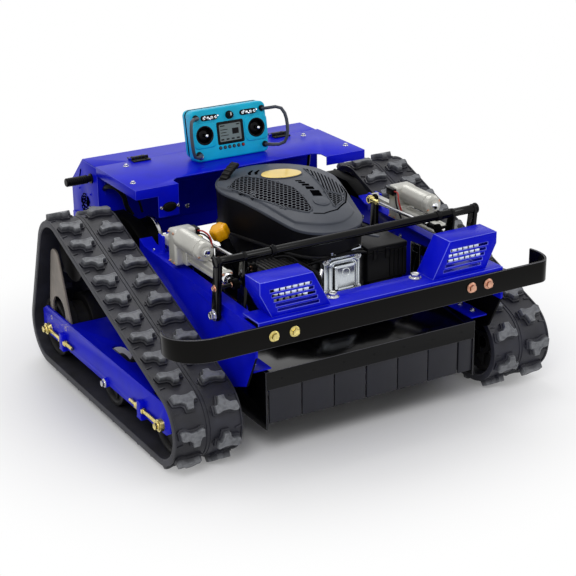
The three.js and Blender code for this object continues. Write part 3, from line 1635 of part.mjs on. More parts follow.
node("front_crossmember", frontCrossmember(), paint.blue);
node("bumper", bumper(), paint.black);
node("lift_frame", liftFrame(), paint.black);
node("deck_shell", deckShell(), paint.black);
node("front_skirt", frontSkirt(), paint.rubber);
node("engine_block", engineBlock(), paint.darkPlastic);
node("engine_cover", engineCover(), paint.coverPlastic);
node("valve_cover", valveCover(), paint.zinc);
node("air_cleaner", airCleaner(), paint.darkPlastic);
node("muffler", muffler(), paint.black);
node("oil_filler_tube", fillerTube(), paint.darkPlastic);
node("oil_cap", oilCap(), paint.yellow);
node("starter_grip", starterGrip(), paint.darkPlastic);
node("crankshaft", crankshaft(), paint.steel);
node("blade", blade(), paint.steel);
node("equipment_box", equipmentBox(), paint.blue);
node("box_lid", boxLid(), paint.blue);
node("battery", battery(), paint.battery);
node("side_grip", sideGrip(), paint.darkPlastic);
node("top_shelf", topShelf(), paint.blue);

node("remote_shell_front", remoteFront(), paint.cyan, remote);
node("remote_shell_back", remoteBack(), paint.cyan, remote);
node("remote_screen", remoteScreen(), paint.screen, remote);
const knob = node("remote_knob", remoteKnob(), paint.darkPlastic, remote, leanedPoint(0, 0, knobZ));
knob.rotation.x = remoteLean;
sides.forEach(({ word, side }) => {
  node(`remote_handle_${word}`, remoteHandle(side), paint.darkPlastic, remote);
  const place = leanedPoint(side * gimbalX, gimbalAxisDepth, gimbalZ);
  const ring = node(`joystick_ring_${word}`, joystickRing(), paint.darkPlastic, remote, place);
  const stick = node(`joystick_${word}`, joystick(), paint.steel, remote, place);
  ring.rotation.x = remoteLean;
  stick.rotation.x = remoteLean;
});

export default machine;
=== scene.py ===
# %% [markdown]
# A remote control slope mower
#
# This lesson dresses a mower that runs on two rubber belts. Its steel frame, wheels, axles and
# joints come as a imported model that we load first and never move. Around it we model what the
# eye sees: cleated belts, a moulded engine cover, folded and painted sheet metal, plated bolts,
# electric actuators and a hand controller. Everything is in metres, +Z is up, the front faces -Y.

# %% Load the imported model
import json
import math
import bpy
from mathutils import Matrix, Vector

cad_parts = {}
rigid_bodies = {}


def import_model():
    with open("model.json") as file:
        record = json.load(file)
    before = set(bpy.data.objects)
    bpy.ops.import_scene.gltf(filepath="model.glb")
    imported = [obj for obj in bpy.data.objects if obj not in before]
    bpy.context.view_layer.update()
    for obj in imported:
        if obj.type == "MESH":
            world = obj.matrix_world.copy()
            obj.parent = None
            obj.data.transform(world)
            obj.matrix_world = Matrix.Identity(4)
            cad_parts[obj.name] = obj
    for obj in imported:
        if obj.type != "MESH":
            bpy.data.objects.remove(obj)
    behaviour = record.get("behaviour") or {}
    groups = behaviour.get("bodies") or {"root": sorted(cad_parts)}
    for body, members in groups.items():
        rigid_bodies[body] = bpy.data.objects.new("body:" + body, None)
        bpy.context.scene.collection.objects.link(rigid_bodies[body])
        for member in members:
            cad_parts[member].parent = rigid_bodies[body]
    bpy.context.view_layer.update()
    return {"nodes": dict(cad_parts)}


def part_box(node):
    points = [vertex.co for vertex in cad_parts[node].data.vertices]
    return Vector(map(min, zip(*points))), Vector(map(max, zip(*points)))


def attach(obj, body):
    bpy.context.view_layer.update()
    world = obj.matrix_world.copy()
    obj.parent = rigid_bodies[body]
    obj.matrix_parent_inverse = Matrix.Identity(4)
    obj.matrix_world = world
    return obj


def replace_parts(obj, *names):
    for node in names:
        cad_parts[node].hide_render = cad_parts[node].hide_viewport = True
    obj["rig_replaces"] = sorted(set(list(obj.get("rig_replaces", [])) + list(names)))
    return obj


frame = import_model()
nodes = frame["nodes"]

# %% [markdown]
# The drawing of the mower counts in millimetres from a line that lies 38 mm in front of the
# middle of its length. A small helper turns such a drawn place into a point in metres, so that
# the sizes below stay readable as a maker would write them.

# %% Places, directions and sides
MM = 0.001
CENTRE_Y = 38.0
X_AXIS, Y_AXIS, Z_AXIS = Vector((1, 0, 0)), Vector((0, 1, 0)), Vector((0, 0, 1))
FRONT, UP, LEFT = -Y_AXIS, Z_AXIS, -X_AXIS
SIDES = (("left", -1), ("right", 1))


def at(x, y, z):
    """A drawn place in millimetres as a point of the frame in metres."""
    return Vector((x, y - CENTRE_Y, z)) * MM


def span(name):
    """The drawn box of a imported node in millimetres: x0, x1, y0, y1, z0, z1."""
    low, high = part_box(name)
    return [v / MM + shift for a, b, shift in zip(low, high, (0, CENTRE_Y, 0)) for v in (a, b)]


print("drawn box of the deck:", [round(v) for v in span("deck_shell")])

# %% [markdown]
# Blender's operators work on whatever is selected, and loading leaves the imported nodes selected.
# So every helper first clears the selection and then takes hold of one piece alone. Once a piece
# has its shape, its place is written into its mesh and the object itself goes back to the origin.

# %% Take hold of a piece and settle it
def alone(piece):
    if bpy.context.mode != "OBJECT":
        bpy.ops.object.mode_set(mode="OBJECT")
    bpy.ops.object.select_all(action="DESELECT")
    piece.select_set(True)
    bpy.context.view_layer.objects.active = piece
    return piece


def named(piece, name):
    piece.name = piece.data.name = name
    return piece


def settle(piece, name):
    alone(piece)
    bpy.ops.object.transform_apply(location=True, rotation=True, scale=True)
    return named(piece, name)


# %% Change a piece in edit mode or by a modifier
def edit(piece):
    """Edit mode, with the whole of a piece selected."""
    alone(piece)
    bpy.ops.object.mode_set(mode="EDIT")
    bpy.ops.mesh.select_all(action="SELECT")


def extrude(lift):
    bpy.ops.mesh.extrude_region_move(TRANSFORM_OT_translate={"value": lift})


def modify(piece, kind, **values):
    alone(piece)
    modifier = piece.modifiers.new(kind.lower(), kind)
    for key, value in values.items():
        setattr(modifier, key, value)
    bpy.ops.object.modifier_apply(modifier=modifier.name)
    return piece


def bevelled(piece, width, segments=2, angle=30, material=-1):
    return modify(piece, "BEVEL", width=width * MM, segments=segments, limit_method="ANGLE",
                  angle_limit=math.radians(angle), material=material)


# %% Paint, join, copy and carve
def painted(piece, *materials):
    """Adds materials to a piece; None adds nothing."""
    for material in filter(None, materials):
        piece.data.materials.append(material)
    return piece


def linked(piece):
    bpy.context.scene.collection.objects.link(piece)
    return piece


def joined(name, pieces):
    alone(pieces[0])
    for piece in pieces:
        piece.select_set(True)
    if len(pieces) > 1:
        bpy.ops.object.join()
    return named(bpy.context.object, name)


def copied(piece, matrix):
    """A copy with its own mesh, moved by a matrix."""
    twin = piece.copy()
    twin.data = piece.data.copy()
    twin.data.transform(matrix)
    return linked(twin)


def carve(piece, *tools, operation="DIFFERENCE"):
    """Cuts the tools out of a piece, or adds them, and removes them."""
    for tool in tools:
        modify(piece, "BOOLEAN", operation=operation, object=tool, solver="EXACT")
        bpy.data.objects.remove(tool)
    return piece


# %% [markdown]
# Most machine parts start as a box, a bar or a drawn outline. The box and the bar are primitives
# set down at their size and place. An outline is one face drawn from its corners, which is then
# extruded, as a plate is cut from sheet. All of them get bevels or further shaping afterwards,
# because no real edge is perfectly sharp.

# %% Boxes, bars, plates and turned parts
def box(name, low, high):
    bpy.ops.object.select_all(action="DESELECT")
    bpy.ops.mesh.primitive_cube_add(size=1, location=(low + high) / 2)
    piece = bpy.context.object
    piece.scale = [abs(v) for v in (high - low)]
    return settle(piece, name)


def block_at(name, x0, x1, y0, y1, z0, z1, soft=0.0, material=None, segments=2):
    """A box between two drawn corners, with soft edges if asked."""
    piece = box(name, at(x0, y0, z0), at(x1, y1, z1))
    if soft:
        bevelled(piece, soft, segments)
    return painted(piece, material)


def bar(name, start, end, radius, sides=32, end_radius=None):
    """A round bar between two points; the radii are in millimetres."""
    along = end - start
    bpy.ops.object.select_all(action="DESELECT")
    bpy.ops.mesh.primitive_cone_add(
        vertices=sides, radius1=radius * MM, radius2=(end_radius or radius) * MM,
        depth=along.length, location=(start + end) / 2,
        rotation=along.to_track_quat("Z", "Y").to_euler(),
    )
    return settle(bpy.context.object, name)


def drawn(name, points, faces=None, edges=()):
    """A mesh from points; without faces or edges it is one face through them all."""
    mesh = bpy.data.meshes.new(name)
    if not edges:
        faces = faces or [tuple(range(len(points)))]
    mesh.from_pydata([tuple(p) for p in points], edges, faces or ())
    return alone(linked(bpy.data.objects.new(name, mesh)))


def plate(name, outline, lift):
    """A drawn face extruded by a vector, with its faces pointing out."""
    piece = drawn(name, outline)
    edit(piece)
    extrude(lift)
    return outward(piece)


def outward(piece, merge=0.00001):
    edit(piece)
    bpy.ops.mesh.remove_doubles(threshold=merge)
    bpy.ops.mesh.normals_make_consistent(inside=False)
    return alone(piece)


# %% Turned parts
def turned(name, centre, axis, profile, steps=48):
    """A lathe-turned part: profile is (radius, distance along the axis) in millimetres."""
    side = axis.orthogonal().normalized()
    points = [centre + (side * r + axis * d) * MM for r, d in profile]
    piece = drawn(name, points, edges=[(i, i + 1) for i in range(len(points) - 1)])
    edit(piece)
    bpy.ops.mesh.spin(steps=steps, angle=2 * math.pi, center=centre, axis=axis)
    return outward(piece)


# %% [markdown]
# Some pieces change along their length: a face is stepped in, or some faces take another finish.
# Faces are picked by their place or normal, and where none ends at the right line, a plane cuts
# new edges first. Hoses and wires are curves with a thickness, made a mesh at once.

# %% Pick, cut and tint faces
def pick_faces(piece, test):
    """Leaves edit mode on with just the faces selected that pass the test."""
    edit(piece)
    bpy.ops.mesh.select_mode(type="FACE")
    bpy.ops.mesh.select_all(action="DESELECT")
    bpy.ops.object.mode_set(mode="OBJECT")
    for face in piece.data.polygons:
        face.select = test(face)
    bpy.ops.object.mode_set(mode="EDIT")


def cut_across(piece, place, direction):
    """Cuts new edges into a mesh where a plane crosses it."""
    edit(piece)
    bpy.ops.mesh.bisect(plane_co=place, plane_no=direction)
    return alone(piece)


def tinted(piece, material, test):
    """Gives the faces that pass the test another material."""
    painted(piece, material)
    for face in piece.data.polygons:
        if test(face):
            face.material_index = len(piece.data.materials) - 1


# %% Hoses and wires
def tube(name, points, radius, sides=12):
    """A bent tube, hose or wire: a smooth curve through drawn points, thickened."""
    curve = bpy.data.curves.new(name, "CURVE")
    curve.dimensions = "3D"
    curve.bevel_depth = radius * MM
    curve.bevel_resolution = max(1, sides // 4 - 1)
    curve.use_fill_caps = True
    curve.resolution_u = 8
    spline = curve.splines.new("BEZIER")
    spline.bezier_points.add(len(points) - 1)
    for knot, point in zip(spline.bezier_points, points):
        knot.co = at(*point)
        knot.handle_left_type = knot.handle_right_type = "AUTO"
    alone(linked(bpy.data.objects.new(name, curve)))
    bpy.ops.object.convert(target="MESH")
    return settle(bpy.context.object, name)


# %% [markdown]
# Many outlines are rounded rectangles, ovals or long slabs. These three functions give their
# corners, all running anticlockwise.

# %% Outlines that come back often
def rounded(u0, u1, v0, v1, radius, steps=6):
    found = []
    for cu, cv, start in ((u1 - radius, v1 - radius, 0), (u0 + radius, v1 - radius, 90),
                          (u0 + radius, v0 + radius, 180), (u1 - radius, v0 + radius, 270)):
        for i in range(steps + 1):
            angle = math.radians(start + 90 * i / steps)
            found.append((cu + radius * math.cos(angle), cv + radius * math.sin(angle)))
    return found


def oval(centre, half_long, half_wide, turn, count=40):
    cos, sin = math.cos(turn), math.sin(turn)
    return [
        (centre[0] + cos * half_long * math.cos(a) - sin * half_wide * math.sin(a),
         centre[1] + sin * half_long * math.cos(a) + cos * half_wide * math.sin(a))
        for a in (2 * math.pi * i / count for i in range(count))
    ]


def slab(start, end, width, width_end=None):
    """Corners of a long flat shape between two places."""
    dx, dy = end[0] - start[0], end[1] - start[1]
    length = math.hypot(dx, dy)
    nx, ny = -dy / length, dx / length
    a, b = width / 2, (width_end or width) / 2
    return [(start[0] + nx * a, start[1] + ny * a), (start[0] - nx * a, start[1] - ny * a),
            (end[0] - nx * b, end[1] - ny * b), (end[0] + nx * b, end[1] + ny * b)]


# %% [markdown]
# A finished piece gets soft shading by angle, its material, and the body that it rides on. Where
# it stands for a imported node, it says so, and that node is hidden. A list of pieces is joined
# first, under a name.

# %% Finish a piece
made, told = [], []


def done(piece, material, body, slot, stands_for=(), angle=35):
    alone(piece)
    bpy.ops.object.shade_smooth_by_angle(angle=math.radians(angle))
    if material:
        piece.data.materials.clear()
        painted(piece, material)
    if stands_for:
        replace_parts(piece, *stands_for)
    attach(piece, body)
    made.append(piece.name)
    return piece


def build(name, pieces, *finish_and_place, **more):
    return done(joined(name, pieces), *finish_and_place, **more)


def tell(what):
    """Prints which pieces were finished since the last call."""
    print(what + ":", made[len(told):])
    told[:] = made


# %% [markdown]
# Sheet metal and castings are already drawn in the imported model, so they are traced: a copy of
# the node's mesh is merged into one skin, its flat triangles are dissolved into whole faces, and
# a fine bevel gives every edge the small radius of a bent or cast part that catches the light.

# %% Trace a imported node
def traced(name, width, segments=2, angle=25, paint=()):
    piece = nodes[name].copy()
    piece.data = nodes[name].data.copy()
    piece.name = name + "_body"
    piece.parent = None
    for key in list(piece.keys()):
        del piece[key]
    piece.data.materials.clear()
    painted(linked(piece), *paint)
    edit(piece)
    bpy.ops.mesh.remove_doubles(threshold=0.00001)
    bpy.ops.mesh.dissolve_limited(angle_limit=math.radians(0.5))
    bpy.ops.mesh.customdata_custom_splitnormals_clear()
    alone(piece)
    if width:
        bevelled(piece, width, segments, angle, 1 if paint else -1)
    return piece


def sheet(name, body="root"):
    """Traced blue sheet metal whose bevelled edges take a paler blue, a painted highlight along
    each bend.
    """
    return done(traced(name, 1.1, 2, 40, (blue_paint, blue_edge)), None, body, "blue_paint",
                [name])


def traced_part(name, width, material, body, slot, segments=2):
    """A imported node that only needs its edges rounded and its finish."""
    return done(traced(name, width, segments), material, body, slot, [name])


# %% [markdown]
# Finishes
#
# Paint, rubber and cast metal are never one flat colour. Three shared effects give them life, and
# each is a node group, built once and placed in every material with its own values. The first,
# grain, is a fine bump such as orange peel in paint or the texture of a moulding. The second,
# mottle, lets a colour drift a little. The third, dust, settles on faces that look up.

# %% Shared effects as node groups
def colour(red, green, blue):
    """A display colour from 0 to 255 as the linear colour that a shader takes."""
    return [
        (v / 255 / 12.92) if v <= 10 else ((v / 255 + 0.055) / 1.055) ** 2.4
        for v in (red, green, blue)
    ] + [1.0]


def effect(name, inputs, outputs):
    group = bpy.data.node_groups.new(name, "ShaderNodeTree")
    for label, kind, value in inputs:
        socket = group.interface.new_socket(label, in_out="INPUT", socket_type=kind)
        if value is not None:
            socket.default_value = value
    for label, kind in outputs:
        group.interface.new_socket(label, in_out="OUTPUT", socket_type=kind)
    return group, group.nodes.new("NodeGroupInput"), group.nodes.new("NodeGroupOutput")


def put(target, inputs):
    for key, value in inputs.items():
        target.inputs[key].default_value = value
    return target


def node(tree, kind, inputs=None, **settings):
    """A new shader node with its settings and the values of its inputs."""
    fresh = tree.nodes.new("ShaderNode" + kind)
    for key, value in settings.items():
        setattr(fresh, key, value)
    return put(fresh, inputs or {})


def wire(tree, *links):
    """Joins nodes: each link is a node, its output, the next node and its input."""
    for source, output, target, entry in links:
        tree.links.new(source.outputs[output], target.inputs[entry])


# %% Grain, a bump from noise
FLOAT, COLOUR, VECTOR = "NodeSocketFloat", "NodeSocketColor", "NodeSocketVector"
grain, g_in, g_out = effect("grain", [("Size", FLOAT, 500.0), ("Height", FLOAT, 0.1)],
                            [("Normal", VECTOR)])
place = node(grain, "TexCoord")
fine = node(grain, "TexNoise", {"Detail": 3.0})
bump = node(grain, "Bump", {"Distance": 0.001})
wire(grain, (place, "Object", fine, "Vector"), (g_in, "Size", fine, "Scale"),
     (fine, "Fac", bump, "Height"), (g_in, "Height", bump, "Strength"),
     (bump, "Normal", g_out, "Normal"))

# %% Mottle, a colour that drifts between a darker and a lighter self
mottle, m_in, m_out = effect(
    "mottle", [("Dark", COLOUR, None), ("Light", COLOUR, None), ("Size", FLOAT, 20.0)],
    [("Color", COLOUR)],
)
place = node(mottle, "TexCoord")
cloud = node(mottle, "TexNoise", {"Detail": 4.0})
steep = node(mottle, "MapRange", {"From Min": 0.35, "From Max": 0.65})
blend = node(mottle, "Mix", data_type="RGBA")
wire(mottle, (place, "Object", cloud, "Vector"), (m_in, "Size", cloud, "Scale"),
     (cloud, "Fac", steep, "Value"), (steep, "Result", blend, "Factor"),
     (m_in, "Dark", blend, "A"), (m_in, "Light", blend, "B"), (blend, "Result", m_out, "Color"))

# %% Dust, a pale film on faces that look up
dust, d_in, d_out = effect(
    "dust", [("Base", COLOUR, None), ("Film", COLOUR, None), ("Amount", FLOAT, 0.1),
             ("Clean", FLOAT, 0.3), ("Dusty", FLOAT, 0.8)],
    [("Color", COLOUR), ("Roughness", FLOAT)],
)
place, facing = node(dust, "TexCoord"), node(dust, "NewGeometry")
upward = node(dust, "SeparateXYZ")
spots = node(dust, "TexNoise", {"Scale": 60.0, "Detail": 6.0})
lying = node(dust, "MapRange", {"From Min": 0.2, "To Min": 0.25})
broken = node(dust, "Math", operation="MULTIPLY")
share = node(dust, "Math", operation="MULTIPLY", use_clamp=True)
film = node(dust, "Mix", data_type="RGBA")
rough = node(dust, "Mix", data_type="FLOAT")
wire(dust, (place, "Object", spots, "Vector"), (facing, "Normal", upward, 0),
     (upward, "Z", lying, "Value"), (lying, "Result", broken, 0), (spots, "Fac", broken, 1),
     (broken, 0, share, 0), (d_in, "Amount", share, 1), (share, 0, film, "Factor"),
     (d_in, "Base", film, "A"), (d_in, "Film", film, "B"), (film, "Result", d_out, "Color"),
     (share, 0, rough, "Factor"), (d_in, "Clean", rough, "A"), (d_in, "Dusty", rough, "B"),
     (rough, "Result", d_out, "Roughness"))
print("node groups:", [g.name for g in bpy.data.node_groups])

# %% [markdown]
# Every finish is then one call: its colour, how rough it is, whether it is metal, whether a clear
# coat lies on it, and how much grain and dust it carries. The shader itself stays in the material.

# %% One finish from the shared effects
DUST_FILM = colour(150, 146, 138)


def new_material(name):
    material = bpy.data.materials.new(name)
    material.use_nodes = True
    return material, material.node_tree, material.node_tree.nodes["Principled BSDF"]


def finish(name, tint, rough, metal=0.0, coat=0.0, size=600.0, height=0.05, drift=0.08,
           dusty=0.1, cloud=14.0, shine=0.3):
    material, tree, shader = new_material(name)
    base = colour(*tint)
    tone = node(tree, "Group", node_tree=mottle, inputs={
        "Dark": [v * (1 - drift) for v in base[:3]] + [1],
        "Light": [min(1, v * (1 + drift)) for v in base[:3]] + [1], "Size": cloud,
    })
    film = node(tree, "Group", node_tree=dust, inputs={
        "Film": DUST_FILM, "Amount": dusty, "Clean": rough, "Dusty": min(1, rough + 0.35),
    })
    skin = node(tree, "Group", {"Size": size, "Height": height}, node_tree=grain)
    wire(tree, (tone, "Color", film, "Base"), (film, "Color", shader, "Base Color"),
         (film, "Roughness", shader, "Roughness"), (skin, "Normal", shader, "Normal"))
    put(shader, {"Metallic": metal, "Specular IOR Level": 0.5 if metal else shine,
                 "Coat Weight": coat, "Coat Roughness": 0.08})
    material["film"] = film.name
    return material


blue_paint = finish("blue_paint", (8, 18, 204), 0.3, height=0.035, dusty=0.01, shine=0.07)
gloss_black = finish("gloss_black", (5, 5, 6), 0.14, height=0.03, dusty=0.0, shine=0.16)
# The two edge finishes are paler paints for the bevels of sheet metal, bumper and deck: a painted
# highlight along their edges.
blue_edge = finish("blue_edge", (96, 104, 236), 0.25, coat=0.2, height=0.0, dusty=0.0)
black_edge = finish("black_edge", (70, 70, 76), 0.25, coat=0.2, height=0.0, dusty=0.0)
black_paint = finish("black_paint", (9, 8, 7), 0.2, dusty=0.0, shine=0.08)
satin_black = finish("satin_black_paint", (5, 5, 6), 0.4, height=0.06, dusty=0.0, shine=0.03)
guard_steel = finish("guard_steel", (128, 120, 112), 0.5, metal=0.35, size=420, height=0.15,
                     drift=0.2, dusty=0.2)
belt_rubber = finish("belt_rubber", (32, 33, 43), 0.46, size=900, height=0.3, drift=0.35,
                     dusty=0.08, shine=0.36)
skirt_rubber = finish("skirt_rubber", (26, 27, 36), 0.42, size=700, height=0.15, dusty=0.05)
wheel_plastic = finish("wheel_plastic", (17, 17, 20), 0.45, size=700, height=0.1, shine=0.2)
bright_steel = finish("bright_steel", (196, 196, 198), 0.24, metal=1.0, height=0.03, dusty=0.05)
blade_steel = finish("blade_steel", (120, 118, 116), 0.4, metal=1.0, height=0.12, dusty=0.25)
zinc_steel = finish("zinc_steel", (198, 204, 210), 0.22, metal=1.0, size=120, height=0.06,
                    drift=0.15, dusty=0.04)
plated = {"metal": 1.0, "size": 300, "height": 0.06, "dusty": 0.04, "cloud": 120}
yellow_zinc = finish("yellow_zinc", (214, 198, 128), 0.26, drift=0.25, **plated)
copper_steel = finish("copper_steel", (204, 156, 132), 0.3, drift=0.2, **plated)
muffler_steel = finish("muffler_steel", (24, 23, 23), 0.5, metal=0.3, size=420, height=0.2,
                       drift=0.25, dusty=0.04)
actuator_grey = finish("actuator_grey", (188, 187, 180), 0.34, metal=0.3, height=0.08,
                       dusty=0.02)
engine_aluminium = finish("engine_aluminium", (22, 22, 24), 0.42, metal=0.1, size=380,
                          height=0.3, drift=0.2, dusty=0.04)
cover_plastic = finish("cover_plastic", (65, 69, 78), 0.42, size=1100, height=0.12, dusty=0.02,
                       shine=0.2)
# A near-black finish: painted shade for the dark inside of the cover's openings, its groove and the
# vents.
cover_black = finish("cover_black", (6, 6, 8), 0.5, size=900, height=0.08, dusty=0.0, shine=0.0)
dark_plastic = finish("dark_plastic", (14, 14, 16), 0.36, size=900, height=0.1, dusty=0.0,
                      shine=0.1)
grey_plastic = finish("grey_plastic", (66, 70, 80), 0.42, size=900, height=0.1, dusty=0.03)
yellow_plastic = finish("yellow_plastic", (255, 176, 4), 0.34, size=700, dusty=0.0, shine=0.4)
cyan_plastic = finish("cyan_plastic", (0, 184, 222), 0.36, size=1200, height=0.06, dusty=0.02)
battery_case = finish("battery_case", (40, 42, 50), 0.5, dusty=0.2)
badge_yellow = finish("badge_yellow", (247, 214, 110), 0.35, coat=0.4, height=0.02, dusty=0.02)
chrome = finish("chrome", (222, 224, 228), 0.08, metal=1.0, height=0.0, drift=0.02, dusty=0.0)
white_mark = finish("white_mark", (232, 232, 228), 0.5, height=0.02, dusty=0.0)
red_wire = finish("red_wire", (168, 28, 22), 0.42, height=0.02)
print("finishes:", len(bpy.data.materials))

# %% [markdown]
# The screen is a grey-green panel under a clear coat that shines like glass. The lamps need more
# than the shared effects: a lens is clear plastic over a bright bowl, and the bowl has a soft
# glow of its own, so that it stays bright in the shade of its housing.

# %% Screen, lens and lamp bowl
screen_green = finish("screen_green", (92, 110, 110), 0.3, coat=1.0, height=0.0, drift=0.06,
                      dusty=0.0)
lens_clear, tree, shader = new_material("lens_clear")
put(shader, {"Base Color": colour(238, 244, 250), "Transmission Weight": 0.85,
             "Roughness": 0.08, "IOR": 1.45})
lamp_bowl = finish("lamp_bowl", (236, 240, 246), 0.2, metal=0.7, height=0.0, drift=0.05, dusty=0.0)
put(lamp_bowl.node_tree.nodes["Principled BSDF"],
    {"Emission Color": colour(235, 240, 255), "Emission Strength": 0.25})
print("of the lamps and the screen:", [m.name for m in (screen_green, lens_clear, lamp_bowl)])

# %% [markdown]
# The studio: one wide floor, a soft light from all round, a big soft key from the front left and
# weaker ones from the right and from above. The world shows plain white to the camera and in
# mirrors, while it lights the object at a lower level. Far from the object the floor shows the
# same white, so the picture has no horizon, and near the object it keeps the soft shadow.

# %% Floor, lights and world
FLOOR_SIZE = 60.0


def looked_at(tree):
    """A node that gives 1 to the camera, a mirror or clear plastic, and 0 to light."""
    rays = node(tree, "LightPath")
    seen, either = [node(tree, "Math", operation="MAXIMUM") for _ in range(2)]
    wire(tree, (rays, "Is Camera Ray", seen, 0), (rays, "Is Glossy Ray", seen, 1),
         (seen, 0, either, 0), (rays, "Is Transmission Ray", either, 1))
    return either


bpy.ops.object.select_all(action="DESELECT")
bpy.ops.mesh.primitive_plane_add(size=FLOOR_SIZE, location=(0, 0, 0))
floor = bpy.context.object
floor.name = "studio_floor"
paper, tree, matte = new_material("studio_paper")
put(matte, {"Base Color": colour(240, 240, 242), "Roughness": 0.55})
white, mixed = node(tree, "Emission"), node(tree, "MixShader")
place, reach = node(tree, "TexCoord"), node(tree, "VectorMath", operation="LENGTH")
fade = node(tree, "MapRange", {"From Min": 0.38, "From Max": 1.1},
            interpolation_type="SMOOTHSTEP")
both = node(tree, "Math", operation="MULTIPLY")
wire(tree, (place, "Object", reach, 0), (reach, "Value", fade, "Value"),
     (fade, "Result", both, 0), (looked_at(tree), 0, both, 1), (both, 0, mixed, "Fac"),
     (matte, 0, mixed, 1), (white, 0, mixed, 2),
     (mixed, 0, tree.nodes["Material Output"], "Surface"))
painted(floor, paper)

world = bpy.data.worlds.new("studio_world")
bpy.context.scene.world = world
world.use_nodes = True
tree = world.node_tree
sky = put(tree.nodes["Background"], {"Color": (1, 1, 1, 1)})
level = node(tree, "MapRange", {"To Min": 0.42, "To Max": 1.0})
wire(tree, (looked_at(tree), 0, level, "Value"), (level, "Result", sky, "Strength"))


def softbox(name, place, size, watts):
    bpy.ops.object.select_all(action="DESELECT")
    bpy.ops.object.light_add(type="AREA", location=place)
    lamp = bpy.context.object
    lamp.name = name
    lamp.data.shape = "DISK"
    lamp.data.size = size
    lamp.data.energy = watts
    lamp.rotation_mode = "QUATERNION"
    lamp.rotation_quaternion = (Vector((0, 0, 0.3)) - Vector(place)).to_track_quat("-Z", "Y")


softbox("key_light", (-2.2, -2.6, 3.4), 1.8, 62)
softbox("fill_light", (3.2, -1.6, 2.6), 1.8, 26)
softbox("top_light", (0.4, 1.8, 3.6), 2.0, 36)

# %% [markdown]
# The camera stands to the front left of the mower and looks down at it. Its place, turn and lens
# were worked out from the way the straight edges of the machine run in the photograph.

# %% Camera
AZIMUTH, ELEVATION, ROLL = math.radians(-30.0144), math.radians(21.4509), math.radians(-0.6833)
SENSOR_WIDTH, FOCAL_PIXELS, IMAGE_WIDTH = 36.0, 1575.38, 576
backward = Vector((
    math.sin(AZIMUTH) * math.cos(ELEVATION), -math.cos(AZIMUTH) * math.cos(ELEVATION),
    math.sin(ELEVATION),
))
level_right = (-backward).cross(Z_AXIS).normalized()
level_up = level_right.cross(-backward)
right = math.cos(ROLL) * level_right + math.sin(ROLL) * level_up
upright = -math.sin(ROLL) * level_right + math.cos(ROLL) * level_up
lens = bpy.data.cameras.new("photo_camera")
lens.sensor_width = SENSOR_WIDTH
lens.lens = FOCAL_PIXELS / IMAGE_WIDTH * SENSOR_WIDTH
camera = linked(bpy.data.objects.new("photo_camera", lens))
turn = Matrix((right, upright, backward)).transposed().to_4x4()
camera.matrix_world = Matrix.Translation((-1.95363, -3.44515, 1.77829)) @ turn
bpy.context.scene.camera = camera
bpy.context.scene.view_settings.view_transform = "Standard"
print("camera lens:", round(lens.lens, 2), "mm")

# %% [markdown]
# The belts
#
# Each track is an endless rubber belt with steel cords inside. It runs over the drive sprocket at
# the top and round two idlers on the ground. We first work out its route, seen from the side, as
# three arcs and three straight runs. Then anything that is modelled flat, with a height above
# the belt's inner face, can be bent onto the route by one function. The cords keep their length,
# so the distance along the belt is counted at their depth.

# %% The route of a belt
TRACK_CENTRE_X, BELT_WIDTH, CORD_DEPTH = 460.0, 180.0, 7.0
CARCASS, LUG_TOP, PITCHES, GUIDES = 14.0, 34.0, 29, 36
WHEELS = [((262.7, 350.0), 78.0), ((-349.0, 115.0), 81.0), ((344.0, 115.0), 81.0)]


def route():
    """Arcs and runs in turn, each with its length along the cords."""
    normals = []
    for (centre, radius), (after, next_radius) in zip(WHEELS, WHEELS[1:] + WHEELS[:1]):
        dy, dz = after[0] - centre[0], after[1] - centre[1]
        length = math.hypot(dy, dz)
        lean = (radius - next_radius) / length
        side = math.sqrt(1 - lean * lean)
        dy, dz = dy / length, dz / length
        normals.append((dy * lean + dz * side, dz * lean - dy * side, length * side))
    found = []
    for index, (centre, radius) in enumerate(WHEELS):
        start = math.atan2(normals[index - 1][1], normals[index - 1][0])
        end = math.atan2(normals[index][1], normals[index][0])
        sweep = (end - start) % (2 * math.pi)
        found.append(("arc", centre, radius, start, sweep, (radius + CORD_DEPTH) * sweep))
        found.append(("run", centre, radius, end, 0.0, normals[index][2]))
    return found


ROUTE = route()
BELT_LENGTH = sum(step[5] for step in ROUTE)
PITCH = BELT_LENGTH / PITCHES


def on_route(along, height):
    """The drawn (y, z) of a point at a distance along the belt and a height above its inside."""
    along %= BELT_LENGTH
    for kind, centre, radius, start, sweep, length in ROUTE:
        if along <= length:
            break
        along -= length
    angle = start + (along / (radius + CORD_DEPTH) if kind == "arc" else 0)
    ny, nz = math.cos(angle), math.sin(angle)
    y = centre[0] + ny * (radius + height)
    z = centre[1] + nz * (radius + height)
    if kind == "run":
        y, z = y - nz * along, z + ny * along
    return y, z


WORN_FROM, WORN_TO = 26.0, 33.0


def bent(piece, hand):
    """Bends a flat mesh (across, along, height) in millimetres onto the belt of one side."""
    worn = piece.data.attributes.new("worn", "FLOAT", "POINT")
    for vertex in piece.data.vertices:
        across, along, height = vertex.co
        share = (height - WORN_FROM) / (WORN_TO - WORN_FROM)
        worn.data[vertex.index].value = min(1, max(0, share))
        y, z = on_route(along, height)
        vertex.co = at(hand * (TRACK_CENTRE_X + across), y, z)
    return outward(piece)


print("belt length:", round(BELT_LENGTH), "mm, pitch:", round(PITCH, 1), "mm")

# %% [markdown]
# The carcass is one cross-section carried along the route. Its outside has a raised rib at each
# edge, which keeps stones from creeping in, and a double moulding line down the middle. The
# sections lie closer together on the arcs than on the runs. Last, the ring is closed.

